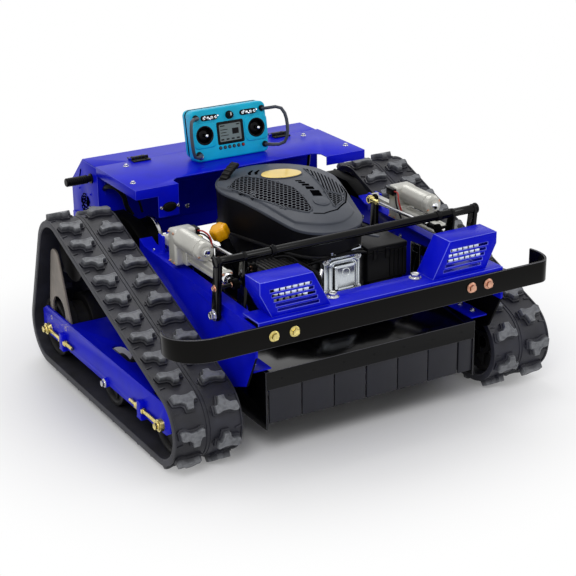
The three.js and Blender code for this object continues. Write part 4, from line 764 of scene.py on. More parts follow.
# %% The carcass
HALF = BELT_WIDTH / 2
SECTION = [
    (-HALF, 3), (-HALF + 2, 0), (HALF - 2, 0), (HALF, 3), (HALF, 15), (HALF - 1, 17.5),
    (HALF - 4.5, 17.5), (HALF - 6, 14.5), (6.5, 14), (5.5, 15.8), (3.5, 15.8), (2.5, 14),
    (-2.5, 14), (-3.5, 15.8), (-5.5, 15.8), (-6.5, 14), (-HALF + 6, 14.5), (-HALF + 4.5, 17.5),
    (-HALF + 1, 17.5), (-HALF, 15),
]
stations = []
start_of_step = 0.0
for kind, centre, radius, start, sweep, length in ROUTE:
    parts_here = 30 if kind == "arc" else 16
    stations += [start_of_step + length * i / parts_here for i in range(parts_here)]
    start_of_step += length


def carcass(side, hand):
    points = [(x, along, w) for along in stations for x, w in SECTION]
    around, rings = len(SECTION), len(stations)
    faces = [
        (a * around + b, a * around + c, d * around + c, d * around + b)
        for a, d in ((a, (a + 1) % rings) for a in range(rings))
        for b, c in ((b, (b + 1) % around) for b in range(around))
    ]
    return bent(drawn("track_belt_%s_carcass" % side, points, faces), hand)


print("sections:", len(stations), "with", len(SECTION), "points each")

# %% [markdown]
# The cleats stand in two staggered rows. A cleat is a bar across the belt with a thick prong on
# one side, moulded on a wider mound. It is drawn once as a flat outline, raised as the mound,
# inset, and raised again as the bar, then its top gets a fine bevel. It is cut across at a few
# places, so that it can bend round the wheels. The inner row is the same cleat, turned half round.

# %% One flat cleat and one guide
MOUND = [
    (35, -9), (31, 10), (21, 12), (11, 12), (4, 17), (2, 29), (-19, 29), (-22, 17), (-26, 10),
    (-35, 10), (-35, -11), (-27, -14), (-13, -10), (4, -10), (17, -15), (28, -15),
]


def flat_cleat():
    piece = drawn("cleat", [(x, u, CARCASS - 1.5) for x, u in MOUND])
    edit(piece)
    extrude((0, 0, 7.0))
    bpy.ops.mesh.inset(thickness=3.2, depth=1.2)
    extrude((0, 0, 12.3))
    bpy.ops.transform.resize(value=(0.95, 0.9, 1))
    for thickness, depth in ((0.6, 0.8), (2.6, 0.0), (0.7, -0.9)):
        bpy.ops.mesh.inset(thickness=thickness, depth=depth)
    for cut in (-6, 1, 8, 17):
        bpy.ops.mesh.select_all(action="SELECT")
        bpy.ops.mesh.bisect(plane_co=(0, cut, 0), plane_no=(0, 1, 0))
    outward(piece, merge=0.01)
    for vertex in piece.data.vertices:
        vertex.co.z = min(vertex.co.z, LUG_TOP)
    return piece


def flat_guide():
    piece = drawn("guide", [(x, u, 1.0) for x, u in ((-15, -9), (-15, 9), (15, 9), (15, -9))])
    edit(piece)
    extrude((0, 0, -19.0))
    bpy.ops.transform.resize(value=(0.62, 0.55, 1))
    modify(piece, "BEVEL", width=2.0, segments=2)
    return outward(piece, merge=0.01)


cleat, guide = flat_cleat(), flat_guide()
low_guide = copied(guide, Matrix.Diagonal((1, 1, 0.2, 1)))
print("cleat faces:", len(cleat.data.polygons))

# %% [markdown]
# Small mouldings lie between the cleats: a slanted lug near each edge rib and a short tab by the
# middle line. They tell the eye how big the belt is, and they cost few faces. The guides that lie
# on the sprocket are kept low, so that its bars can turn past them.

# %% Small mouldings between the cleats
ROW_OFFSET, NEAR_SPROCKET = 49.0, 42.0


def flat_bar(low, high, slant):
    """A small raised bar from low to high (across, along, height), sheared along by slant."""
    corners = [
        (x, u + (slant if x == high[0] else 0), w)
        for w in (low[2], high[2]) for x, u in
        ((low[0], low[1]), (high[0], low[1]), (high[0], high[1]), (low[0], high[1]))
    ]
    faces = [(0, 3, 2, 1), (4, 5, 6, 7), (0, 1, 5, 4), (1, 2, 6, 5), (2, 3, 7, 6), (3, 0, 4, 7)]
    return drawn("moulding", corners, faces)


edge_step = flat_bar((69, 22, CARCASS - 1), (HALF - 3, 26, CARCASS + 3), 4)
centre_tab = flat_bar((9, -2.4, CARCASS - 1), (16, 2.4, CARCASS + 2.4), 4)
print("moulding faces:", len(edge_step.data.polygons))


def cleats(side, hand):
    found = []
    half_round = Matrix.Rotation(math.pi, 4, "Z")
    for index in range(PITCHES):
        for shape, across in ((cleat, ROW_OFFSET), (edge_step, 0), (centre_tab, 0)):
            outer = Matrix.Translation((across, index * PITCH, 0))
            inner = Matrix.Translation((-across, (index + 0.5) * PITCH, 0))
            found += [copied(shape, outer), copied(shape, inner @ half_round)]
    for index in range(GUIDES):
        along = index * BELT_LENGTH / GUIDES
        on_sprocket = (along + NEAR_SPROCKET) % BELT_LENGTH < ROUTE[0][5] + 2 * NEAR_SPROCKET
        found.append(copied(low_guide if on_sprocket else guide,
                            Matrix.Translation((0, along, 0))))
    return bent(joined("track_belt_%s_cleats" % side, found), hand)


# %% [markdown]
# Rubber wears pale where it touches the ground. Each point of the belt keeps how high it stands
# as an attribute, and the rubber's material turns paler with it, broken up by noise.

# %% Worn rubber
tree = belt_rubber.node_tree
film = tree.nodes[belt_rubber["film"]]
mark = node(tree, "Attribute", attribute_name="worn")
rub = node(tree, "TexNoise", {"Scale": 90.0, "Detail": 5.0})
strong = node(tree, "Math", {1: 1.7}, operation="MULTIPLY")
rubbed = node(tree, "Math", operation="MULTIPLY", use_clamp=True)
pale = node(tree, "Mix", {"B": colour(120, 122, 126)}, data_type="RGBA")
wire(tree, (node(tree, "TexCoord"), "Object", rub, "Vector"), (mark, "Fac", rubbed, 0),
     (rub, "Fac", strong, 0), (strong, 0, rubbed, 1), (rubbed, 0, pale, "Factor"),
     (film, "Color", pale, "A"), (pale, "Result", tree.nodes["Principled BSDF"], "Base Color"))

for side, hand in SIDES:
    name = "track_belt_" + side
    done(carcass(side, hand), belt_rubber, "root", "belt_rubber", [name], angle=30)
    rows = done(cleats(side, hand), belt_rubber, "root", "belt_rubber", angle=30)
    print(name, "faces:", len(rows.data.polygons))
for flat in (cleat, guide, low_guide, edge_step, centre_tab):
    bpy.data.objects.remove(flat)
tell("belts")

# %% [markdown]
# The engine cover
#
# The cover is one moulding over the fan and the flywheel. Seen from above it is a wide round rear
# and a narrower round nose with straight sides between. Its wall stands upright and is black.
# On top sits a grey hood with a brim, a lower ledge that widens round the nose, and a gentle
# dome. We carry rings inward from the outline: each ring is the outline shrunk toward the spine.

# %% Shape of the cover
COVER_REAR, COVER_NOSE = (25.0, 163.0), (-190.0, 108.0)
COVER_BOTTOM, BRIM_NOSE, BRIM_REAR, DOME = 424.3, 489.0, 527.0, 18.0
BRIM_START, BRIM_RUN = -298.0, 300.0


def brim(y):
    share = min(1, max(0, (y - BRIM_START) / BRIM_RUN))
    return BRIM_NOSE + (BRIM_REAR - BRIM_NOSE) * share * share * (3 - 2 * share)


def share_out(x, y):
    """0 on the spine of the cover and 1 on its outline."""
    centre = min(COVER_REAR[0], max(COVER_NOSE[0], y))
    part = (centre - COVER_NOSE[0]) / (COVER_REAR[0] - COVER_NOSE[0])
    radius = COVER_NOSE[1] + (COVER_REAR[1] - COVER_NOSE[1]) * part
    return math.hypot(x, y - centre) / radius


def hood(x, y):
    """Height of the hood above the ground at a drawn place."""
    return brim(y) + DOME * (1 - min(1, share_out(x, y)) ** 2.4)


def cover_ring(arc=56, run=12):
    """Outline points as (spine y, normal x, normal y, radius)."""
    low = math.asin((COVER_NOSE[1] - COVER_REAR[1]) / (COVER_REAR[0] - COVER_NOSE[0]))
    high = math.pi - low
    found = []
    for here, after, start, end in ((COVER_REAR, COVER_NOSE, low, high),
                                    (COVER_NOSE, COVER_REAR, high, 2 * math.pi + low)):
        for i in range(arc + 1):
            angle = start + (end - start) * i / arc
            found.append((here[0], math.cos(angle), math.sin(angle), here[1]))
        for t in (i / run for i in range(1, run)):
            found.append((here[0] + (after[0] - here[0]) * t, math.cos(end), math.sin(end),
                          here[1] + (after[1] - here[1]) * t))
    return found


# %% Ledge, lip and dome in rings
OUTLINE = cover_ring()
LEDGE_DROP = 4.5


def ledge(ny):
    """How far out the step between ledge and dome lies: wide round the nose, thin at the rear."""
    front = min(1, max(0, (0.35 - ny) / 1.2))
    return 0.965 - 0.235 * front * front * (3 - 2 * front)


def cover_point(entry, kind, value):
    spine, nx, ny, radius = entry
    edge = ledge(ny)
    out = radius * {"step": edge + value, "dome": (edge - 0.03) * value}.get(kind, value)
    return nx * out, spine + ny * out


LEVELS = [
    ("wall", 0.972, "bottom", 0.0), ("wall", 0.975, "bottom", 14.0), ("wall", 0.985, "brim", -11.0),
    ("lip", 0.998, "brim", -9.0), ("lip", 1.0, "brim", -6.5), ("lip", 0.996, "brim", -3.6),
    ("lip", 0.985, "brim", -2.4), ("step", 0.012, "hood", -LEDGE_DROP),
    ("step", 0.0, "hood", -LEDGE_DROP + 0.8), ("step", -0.006, "hood", -1.4),
    ("step", -0.016, "hood", -0.3), ("dome", 1.0, "hood", 0.0),
] + [("dome", v, "hood", 0.0) for v in (0.9, 0.78, 0.64, 0.5, 0.36, 0.22, 0.1, 0.0)]


def cover_mesh():
    points, faces = [], []
    count = len(OUTLINE)
    for kind, value, base, rise in LEVELS:
        for entry in OUTLINE:
            x, y = cover_point(entry, kind, value)
            z = {"bottom": COVER_BOTTOM, "brim": brim(y), "hood": hood(x, y)}[base] + rise
            points.append(at(x, y, z))
    for ring in range(len(LEVELS) - 1):
        for i in range(count):
            j = (i + 1) % count
            a, b = ring * count, (ring + 1) * count
            faces.append((a + i, a + j, b + j, b + i))
    faces.append(tuple(range(count - 1, -1, -1)))
    return outward(drawn("engine_cover_hood", points, faces), merge=0.0004)


cover = done(cover_mesh(), cover_plastic, "deck", "cover_plastic", ["engine_cover"], angle=28)
tinted(cover, dark_plastic,
       lambda f: f.center.z / MM < brim(f.center.y / MM + CENTRE_Y) - 9.5)
print("cover:", [round(v, 3) for corner in (cover.bound_box[0], cover.bound_box[6])
                 for v in corner])

# %% [markdown]
# Cooling air enters through two honeycomb panels. One cell is a hexagon, inset to leave a thin
# wall, with its floor pushed down. Copies of the cell fill each panel's outline, their shared
# edges are merged, and every point is raised onto the dome. A Solidify modifier gives the panel
# its thickness, and the floors of the cells take a near-black finish: painted shade for the dark
# depth of the open cells.

# %% Honeycomb panels
CELL, CELL_WALL, CELL_DEPTH, PANEL_RISE = 6.9, 1.25, 4.0, 1.6
LEFT_PANEL = [(-143, 30), (-104, 66), (-76, 72), (-48, 22), (-22, -46), (-8, -76), (-9, -112),
              (-14, -154), (-23, -192), (-40, -204), (-58, -184), (-81, -149), (-98, -112),
              (-117, -75), (-130, -26)]
RIGHT_PANEL = [(62, -112), (100, -134), (81, -170), (38, -204), (50, -151)]
RIBBED_PANEL = [(98, 56), (114, 0), (127, -45), (129, -80), (118, -117), (96, -140), (60, -118),
                (67, -90), (78, -32)]


def inside(x, y, outline):
    hit = False
    for (x1, y1), (x2, y2) in zip(outline, outline[1:] + outline[:1]):
        if (y1 > y) != (y2 > y) and x < (x2 - x1) * (y - y1) / (y2 - y1) + x1:
            hit = not hit
    return hit


def hex_cell():
    corners = [math.radians(30 + 60 * i) for i in range(6)]
    points = [(math.cos(a) * CELL, math.sin(a) * CELL, 0) for a in corners]
    piece = drawn("cell", points)
    edit(piece)
    bpy.ops.mesh.inset(thickness=CELL_WALL, depth=0)
    extrude((0, 0, -CELL_DEPTH))
    return alone(piece)


def panel(name, outline):
    cell = hex_cell()
    across, down = CELL * math.sqrt(3), CELL * 1.5
    found = []
    for row in range(-20, 14):
        for column in range(-20, 20):
            x, y = (column + (row % 2) / 2) * across, row * down - 60
            if inside(x, y, outline) and share_out(x, y) < 0.93:
                found.append(copied(cell, Matrix.Translation((x, y, 0))))
    bpy.data.objects.remove(cell)
    piece = joined(name, found)
    edit(piece)
    bpy.ops.mesh.remove_doubles(threshold=0.05)
    alone(piece)
    floors = [f.index for f in piece.data.polygons if f.center.z < -0.3 * CELL_DEPTH]
    for vertex in piece.data.vertices:
        x, y, depth = vertex.co
        vertex.co = at(x, y, hood(x, y) + PANEL_RISE + depth)
    # The cell floors take near black, painted shade for the open cells.
    painted(piece, cover_plastic, cover_black)
    for index in floors:
        piece.data.polygons[index].material_index = 1
    modify(piece, "SOLIDIFY", thickness=1.2 * MM, offset=-1.0)
    print(name, "cells:", len(found), "faces:", len(piece.data.polygons))
    return piece


for name, outline in (("engine_cover_mesh_left", LEFT_PANEL),
                      ("engine_cover_mesh_right", RIGHT_PANEL)):
    done(panel(name, outline), None, "deck", "cover_plastic", angle=30)

# %% [markdown]
# Raised and dark shapes on the hood are all made in the same way: an outline is drawn flat and
# extruded, cut into narrow strips so that it can bend, and then raised onto the dome. So come the
# ribs at the right, the slots in the spine, dark with painted shade, the round boss and the oval
# badge, left plain.

# %% Shapes laid on the hood
def laid(name, outline, low, high, material, round_edge=0.0, pieces=7):
    piece = drawn(name, [(x, y, low) for x, y in outline])
    edit(piece)
    extrude((0, 0, high - low))
    bpy.ops.mesh.select_all(action="SELECT")
    bpy.ops.mesh.normals_make_consistent(inside=False)
    for i in range(1, pieces):
        for axis in (0, 1):
            values = [p[axis] for p in outline]
            cut = min(values) + (max(values) - min(values)) * i / pieces
            bpy.ops.mesh.select_all(action="SELECT")
            bpy.ops.mesh.bisect(plane_co=(cut, cut, 0), plane_no=(1 - axis, axis, 0))
    alone(piece)
    for vertex in piece.data.vertices:
        x, y, rise = vertex.co
        vertex.co = at(x, y, hood(x, y) + rise)
    if round_edge:
        bevelled(piece, round_edge, 3, 50)
    return painted(piece, material)


# The slots, the beds under the honeycomb panels and the groove are near black: painted shade for
# the dark inside of openings and of a recess.
SLOT_SPOTS = [((26, -40), 15, 6), ((28, -53), 16, 8), ((30, -69), 18, 11), ((31, -89), 20, 15),
              ((31, -120), 24, 31)]
dark = [laid("slot", slab((x - w / 2, y + 2), (x + w / 2, y - 4), t), -1.0, 0.6, cover_black,
             0.0, 3) for (x, y), w, t in SLOT_SPOTS]
for start, middle, end in (((-57, 70), (-48, 88), (-30, 104)), ((-42, 62), (-33, 79), (-16, 94))):
    dark.append(laid("slot", slab(start, middle, 7, 9), -1.0, 0.6, cover_black, 0.0, 2))
    dark.append(laid("slot", slab(middle, end, 9, 5), -1.0, 0.6, cover_black, 0.0, 2))
PANELS = (LEFT_PANEL, RIGHT_PANEL, RIBBED_PANEL)
dark += [laid("bed", outline, -1.0, 0.5, cover_black, 0.0, 6) for outline in PANELS]
groove = [(124, -50), (132, -82), (124, -120), (86, -176), (36, -216), (-8, -224), (-32, -212)]
dark += [laid("groove", slab(a, b, 3.4), -1.0, 0.7, cover_black, 0.0, 4)
         for a, b in zip(groove, groove[1:])]
build("engine_cover_slots", dark, None, "deck", "cover_plastic")

RIB_LEAN = 0.42
ribs = []
for index in range(10):
    x = 79 + 8.6 * index
    line = [(x + RIB_LEAN * y, y) for y in range(60, -150, -2)]
    line = [(a, b) for a, b in line if inside(a, b, RIBBED_PANEL)]
    if len(line) > 2:
        ribs.append(laid("rib", slab(line[0], line[-1], 4.4), -1.0, 3.0, cover_plastic, 1.0, 5))
for outline in PANELS:
    ribs += [laid("rim", slab(a, b, 3.0), -1.0, 2.0, cover_plastic, 0.8, 3)
             for a, b in zip(outline, outline[1:] + outline[:1])]
build("engine_cover_ribs", ribs, None, "deck", "cover_plastic")

boss = [laid("boss", oval((20, -166), 22, 23, 0.0), -1.0, 2.4, cover_plastic, 1.0, 4),
        laid("boss_face", oval((20, -166), 17, 18, 0.0), 1.0, 2.8, cover_plastic, 0.3, 3)]
build("engine_cover_spine", boss, None, "deck", "cover_plastic")

badge = [laid("badge", oval((14, 27), 58, 41, math.radians(-8)), -1.0, 2.2, cover_plastic, 0.8, 6),
         laid("badge_face", oval((14, 27), 55, 38, math.radians(-8)), 1.0, 3.0, badge_yellow,
              0.6, 6)]
build("engine_cover_badge", badge, None, "deck", "cover_plastic")
print("hood shapes:", len(dark) + len(ribs) + len(boss) + len(badge))
tell("engine cover")

# %% [markdown]
# Bolts
#
# A bolt head is modelled once: a round washer, a hexagon on a small flange, and a shallow dish in
# its top. Every bolt on the machine is a copy of it, turned to its axis and brought to its size.

# %% One bolt head and its copies
MASTER_SIZE = 10.0


def bolt_head():
    washer = turned("washer", Vector((0, 0, 0)), Z_AXIS,
                    [(0, 0), (14, 0), (14, 1.6), (13.2, 2.2), (0, 2.2)], 24)
    flange = turned("flange", Vector((0, 0, 0)), Z_AXIS,
                    [(0, 1), (12, 2.2), (11.4, 3.4), (9.4, 4.2), (0, 4.2)], 24)
    head = bar("head", Z_AXIS * 0.0035, Z_AXIS * 0.0105, MASTER_SIZE, 6)
    pick_faces(head, lambda f: f.normal.z > 0.9)
    bpy.ops.mesh.inset(thickness=0.0022, depth=0.0)
    bpy.ops.mesh.inset(thickness=0.0012, depth=-0.0012)
    bpy.ops.object.mode_set(mode="OBJECT")
    bevelled(head, 0.7, 2, 40)
    return joined("bolt_head", [head, flange, washer])


bolt_master = bolt_head()
print("bolt head faces:", len(bolt_master.data.polygons))


def bolts(name, spots, material, body, slot):
    """Copies of the bolt head at (place, axis, size in mm), joined as one piece."""
    found = []
    for index, (place, axis, size) in enumerate(spots):
        turn = axis.to_track_quat("Z", "Y").to_matrix().to_4x4()
        spin = Matrix.Rotation(0.7 * index, 4, "Z")
        grow = Matrix.Scale(size / MASTER_SIZE, 4)
        found.append(copied(bolt_master, Matrix.Translation(place) @ turn @ spin @ grow))
    return build(name, found, material, body, slot)


# %% [markdown]
# The hand controller
#
# It stands on the shelf and leans back a little. Its face has its own directions: u across, v up
# the face and n out of it. All its shapes are drawn in these, and one matrix carries them over.
# The two half shells are rounded plates with a dark gasket between them, and the pockets for the
# two sticks and the screen are cut out of the front half.

# %% The controller's own directions
LEAN = math.radians(10)
remote_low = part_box("remote_shell_front")[0]
REMOTE_ORIGIN = Vector((6 * MM, remote_low.y, remote_low.z))
REMOTE = Matrix.Translation(REMOTE_ORIGIN) @ Matrix((
    (1, 0, 0, 0), (0, math.sin(LEAN), -math.cos(LEAN), 0), (0, math.cos(LEAN), math.sin(LEAN), 0),
    (0, 0, 0, 1),
))
OUT_OF_FACE = (REMOTE.to_3x3() @ Z_AXIS).normalized()


def face_point(u, v, n):
    return REMOTE @ (Vector((u, v, n)) * MM)


def face_plate(name, outline, low, high, soft=0.0, segments=3, material=None):
    piece = plate(name, [face_point(u, v, low) for u, v in outline],
                  OUT_OF_FACE * (high - low) * MM)
    if soft:
        bevelled(piece, soft, segments, 40)
    return painted(piece, material)


def face_bar(name, u, v, low, high, radius, sides=32, end_radius=None, material=None):
    return painted(bar(name, face_point(u, v, low), face_point(u, v, high), radius, sides,
                       end_radius), material)


STICK_U, STICK_V, STICK_RADIUS = 80, 72, 24.5
SCREEN = (-38.5, 38.5, 42, 99)
shell = face_plate("remote_case_front", rounded(-115, 115, 1.0, 142, 16), -37.4, 0, 4.5, 4)
pads = [
    face_plate("pad", rounded(u - 35, u + 35, STICK_V - 35, STICK_V + 34, 14), -4, 2.6, 2.0, 3)
    for u in (-STICK_U, STICK_U)
]
carve(shell, *pads, operation="UNION")
carve(
    shell, face_bar("pocket", -STICK_U, STICK_V, -21, 6, STICK_RADIUS, 48),
    face_bar("pocket", STICK_U, STICK_V, -21, 6, STICK_RADIUS, 48),
    face_plate("pocket", rounded(SCREEN[0] - 3, SCREEN[1] + 3, SCREEN[2] - 3, SCREEN[3] + 3, 5),
               -3.4, 3),
)
done(shell, cyan_plastic, "remote", "cyan_plastic", ["remote_shell_front"])
back = face_plate("remote_case_back", rounded(-115, 115, 10.6, 142, 16), -56.6, -39.2, 5.0, 4)
done(back, cyan_plastic, "remote", "cyan_plastic", ["remote_shell_back"])
door = [face_plate("door", rounded(-48, 48, 34, 104, 8), -58.2, -56, 0.8, 2),
        face_plate("tab", rounded(-12, 12, 95, 101, 2.4), -59.4, -57.6, 0.6, 2)]
build("remote_door", door, cyan_plastic, "remote", "cyan_plastic")
bolts("remote_back_screws", [(face_point(u, v, -56.4), -OUT_OF_FACE, 3.0)
                             for u in (-100, 100) for v in (26, 128)], zinc_steel, "remote",
      "cyan_plastic")
gasket = face_plate("remote_gasket", rounded(-116, 116, 9.0, 143, 17), -39.6, -37.0, 0.8, 2)
done(gasket, dark_plastic, "remote", "cyan_plastic")
print("controller leans by", round(math.degrees(LEAN)), "degrees")

# %% [markdown]
# On the face sit the screen in its dark frame, a row of six small buttons, two rows of chromed
# toggles on black beds, and a bigger button in a lower corner. Each toggle is a round collar with
# a tapered lever, and the levers lean in different directions, as if somebody had used them.

# %% Screen, buttons and toggles
frame_ring = face_plate("remote_bezel", rounded(SCREEN[0] - 2.8, SCREEN[1] + 2.8, SCREEN[2] - 2.8,
                                                SCREEN[3] + 2.8, 5), -3.3, 0.5, 0.8, 2)
carve(frame_ring, face_plate("pocket", rounded(-34, 34, 46.5, 94.5, 3), -1.4, 3))
done(frame_ring, dark_plastic, "remote", "screen_glass")
done(face_plate("remote_display", rounded(-33.8, 33.8, 46.7, 94.3, 2.8), -1.5, -0.9, 0.0),
     screen_green, "remote", "screen_glass", ["remote_screen"])
marks = [
    face_plate("mark", [(u, v), (u + w, v), (u + w, v + h), (u, v + h)], -1.0, -0.75, 0, 1,
               dark_plastic)
    for u, v, w, h in ((-30, 88, 14, 3), (20, 88, 10, 3), (-30, 78, 22, 2), (-30, 70, 18, 2),
                       (-30, 62, 24, 2), (6, 64, 20, 16), (-30, 50, 9, 4), (-14, 50, 9, 4),
                       (2, 50, 9, 4), (18, 50, 9, 4))
]
build("remote_display_marks", marks, None, "remote", "screen_glass")

buttons = []
for index in range(6):
    u = -35 + 14 * index
    buttons.append(face_bar("button", u, 31, -1, 1.2, 5.2, 24, 4.8, dark_plastic))
    buttons.append(face_bar("button", u, 31, 1, 3.2, 3.6, 24, 3.0,
                            red_wire if index == 5 else grey_plastic))
buttons += [face_bar("button", -98, 15, *shape) for shape in (
    (-1, 2.5, 8.4, 32, 8.0, dark_plastic), (2, 6.5, 6.2, 32, 5.2, chrome),
    (6, 7.2, 3.2, 24, 2.8, dark_plastic))]
for piece in buttons:
    bevelled(piece, 0.4, 2, 40)
build("remote_buttons", buttons, None, "remote", "dark_plastic")

toggles = []
TOGGLE_V, LEVER_TILTS = 118.5, [(-3, 9), (5, -8), (-6, -4), (3, 8)]
for middle in (-61, 59):
    bed = rounded(middle - 26, middle + 26, 111, 126, 7.4)
    toggles.append(face_plate("bed", bed, -1, 1.6, 0.7, 2, dark_plastic))
    for index, (lean_u, lean_v) in enumerate(LEVER_TILTS):
        u = middle - 18 + 12 * index
        toggles.append(face_bar("collar", u, TOGGLE_V, 1, 5.5, 4.2, 12, 4.0, chrome))
        toggles.append(face_bar("collar", u, TOGGLE_V, 5, 7.5, 3.0, 16, 2.6, chrome))
        tip = face_point(u + lean_u * 0.6, TOGGLE_V + lean_v * 0.6, 15.5)
        lever = bar("lever", face_point(u, TOGGLE_V, 6), tip, 1.3, 12, 2.5)
        toggles.append(bevelled(painted(lever, chrome), 0.5, 2, 40))
build("remote_toggles", toggles, None, "remote", "bright_steel")

feet = [bevelled(face_bar("foot", u, v, -0.5, 7, 9.0, 24, 7.6, dark_plastic), 1.2, 2, 40)
        for u in (-104 * 0.985, 104 * 0.985) for v in (22, 122)]
build("remote_handle_feet", feet, None, "remote", "dark_plastic")
for side in ("left", "right"):
    done(traced("remote_handle_" + side, 0), grey_plastic, "remote", "dark_plastic",
         ["remote_handle_" + side], angle=50)
tell("controller")

# %% [markdown]
# The speed knob has flutes round its skirt and a white pointer. The two sticks sit in black cups:
# the ring of each tips up and down, and the stick in it tips sideways, so each of them is a piece
# of its own and rides on its own body. A stick has a slim chrome shaft and a knurled tip.

# %% Knob and sticks
KNOB_V = 118
knob = [bevelled(face_bar("knob", 0, KNOB_V, *shape, dark_plastic), 0.8, 2, 40)
        for shape in ((0.6, 4, 11.6, 40, 11.2), (3.6, 14, 9.2, 24, 8.0))]
knob += [face_bar("flute", 8.8 * math.cos(a), KNOB_V + 8.8 * math.sin(a), 3.6, 12, 1.3, 8, 1.0,
                  dark_plastic) for a in (math.pi * i / 5 for i in range(10))]
pointer = [(-1.4, KNOB_V - 1), (1.4, KNOB_V - 1), (1.4, KNOB_V + 7.4), (-1.4, KNOB_V + 7.4)]
knob.append(face_plate("pointer", pointer, 13.6, 14.4, 0, 1, white_mark))
build("remote_knob_cap", knob, None, "remote_knob", "dark_plastic", ["remote_knob"])

for side, u in (("left", -STICK_U), ("right", STICK_U)):
    centre = face_point(u, STICK_V, 0)
    cup = turned("joystick_cup_" + side, centre, OUT_OF_FACE,
                 [(0, -20.4), (22, -20.4), (23.2, -18), (23.2, 0.6), (22.2, 1.8), (24.3, 3.4),
                  (27.2, 2.4), (27.6, 0.4), (24.4, 0.0), (24.4, -21), (0, -21)], 48)
    done(cup, dark_plastic, "remote", "dark_plastic")
    ring_centre = sum(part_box("joystick_ring_" + side), Vector()) / 2
    depth = (ring_centre - centre).dot(OUT_OF_FACE) / MM
    ring = turned("joystick_dome_" + side, centre, OUT_OF_FACE,
                  [(5.0, depth - 4.5), (17.4, depth - 4.5), (17.4, depth - 2),
                   (16.2, depth + 0.6), (13.2, depth + 2.8), (9.4, depth + 4.0),
                   (5.0, depth + 4.4), (5.0, depth - 4.5)], 48)
    done(ring, dark_plastic, "joystick_ring_" + side, "dark_plastic", ["joystick_ring_" + side])
    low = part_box("joystick_" + side)[0]
    root = centre + OUT_OF_FACE * (depth - 3) * MM
    reach = (low.y - root.y) / OUT_OF_FACE.y / MM
    stick = [bar("shaft", root, root + OUT_OF_FACE * (reach - 8) * MM, 2.6, 16, 2.2)]
    tip_start = root + OUT_OF_FACE * (reach - 10) * MM
    stick.append(turned("tip", tip_start, OUT_OF_FACE,
                        [(0, 0), (3.0, 0), (4.4, 1), (4.0, 2), (4.4, 3), (4.0, 4), (4.4, 5),
                         (4.0, 6), (4.4, 7), (3.6, 8.6), (2.4, 9.2), (0, 8.6)], 20))
    build("joystick_stick_" + side, stick, chrome, "joystick_" + side, "bright_steel",
         ["joystick_" + side], angle=50)
tell("knob and sticks")

# %% [markdown]
# Lamps
#
# Each work lamp sits in a folded housing behind five long slots. Behind the three upper slots is
# the lamp itself: a black heat sink with three rows of bright round-cornered lenses. A lens is a
# small rounded block of clear plastic over a bright bowl, and one lens is copied to all places.

# %% Lamps behind their slots
LAMP_FRONT_Y, LAMP_LIFT = -477.0, 7
lens_block = block_at("lens", -5.6, 5.6, -1.6, 4, -5.2, 5.2, 3.6, lens_clear, 3)
bowl_block = block_at("bowl", -6.6, 6.6, 2.2, 6.5, -5.6, 5.6, 2.6, lamp_bowl, 2)
lens_pair = joined("lens_pair", [lens_block, bowl_block])


def lamp(side, hand):
    x0, x1 = span("lamp_" + side)[:2]
    found = [block_at("lamp", x0 - 1, x1 + 1, LAMP_FRONT_Y + 3, LAMP_FRONT_Y + 26,
                      409 + LAMP_LIFT, 453 + LAMP_LIFT, 2.0, dark_plastic)]
    for fin in range(9):
        x = x0 + 6 + fin * (x1 - x0 - 12) / 8
        found.append(block_at("fin", x - 1, x + 1, LAMP_FRONT_Y + 24, LAMP_FRONT_Y + 36,
                              412 + LAMP_LIFT, 448 + LAMP_LIFT, 0.4, dark_plastic))
    for row in range(3):
        z = 425.5 + 12.5 * row
        for column in range(6):
            x = (x0 + x1) / 2 + (column - 2.5) * 16.6 - hand * (row - 1) * 3
            spot = Matrix.Translation(at(x, LAMP_FRONT_Y + CENTRE_Y, z))
            found.append(copied(lens_pair, spot))
    build("lamp_%s_unit" % side, found, None, "root", "lamp_lens", ["lamp_" + side])


for side, hand in SIDES:
    lamp(side, hand)
    sheet("lamp_housing_" + side)
bpy.data.objects.remove(lens_pair)
tell("lamps")

# %% [markdown]
# Bumper, cross member and their bolts
#
# The bumper is a flat bar that curls back at both ends. Its bolts are yellow zinc on one side and
# copper coloured on the other, and the cross member behind it is held by two silver ones with big
# round washers.

# %% Bumper, cross member and bolts
BUMPER_Z, BUMPER_FRONT, BUMPER_THICK = (319, 377), -500, 6
CURLS = ((-1, 460, 97, 80, 118), (1, 468, 45, 71, 113))
edge_out, edge_in = [], []
for hand, straight, wide, deep, sweep in CURLS:
    for i in range(17):
        angle = math.radians(sweep) * (i if hand > 0 else 16 - i) / 16
        for less, line in ((0, edge_out), (BUMPER_THICK, edge_in)):
            line.append((hand * (straight + (wide - less) * math.sin(angle)),
                         BUMPER_FRONT + deep - (deep - less) * math.cos(angle)))
outline = [at(x, y, BUMPER_Z[0]) for x, y in edge_out + edge_in[::-1]]
bumper = plate("bumper_bar", outline, Vector((0, 0, (BUMPER_Z[1] - BUMPER_Z[0]) * MM)))
for vertex in bumper.data.vertices:
    curled = min(1, max(0, (vertex.co.y - at(0, -482, 0).y) / (100 * MM)))
    if abs(vertex.co.x) > 0.46:
        vertex.co.z += (0.348 - vertex.co.z) * (0.2 if vertex.co.x < 0 else 0.08) * curled
# The bumper's bevels take a paler black, a painted highlight along its edges.
bevelled(painted(bumper, black_paint, black_edge), 1.2, 3, 50, 1)
done(bumper, None, "root", "black_paint", ["bumper"], angle=40)
sheet("front_crossmember")
for side, plating, height, places in (("left", yellow_zinc, 348, (-258, -313)),
                                      ("right", copper_steel, 351.5, (249, 300))):
    spots = [(at(x, -500.2, height), FRONT, 9.6) for x in places]
    bolts("bumper_bolts_" + side, spots, plating, "root", "black_paint")
shelf_bolts = [(at(hand * 119, -443, 385.2), UP, 11.5) for hand in (-1, 1)]
bolts("crossmember_bolts", shelf_bolts, bright_steel, "root", "bright_steel")
tell("front")

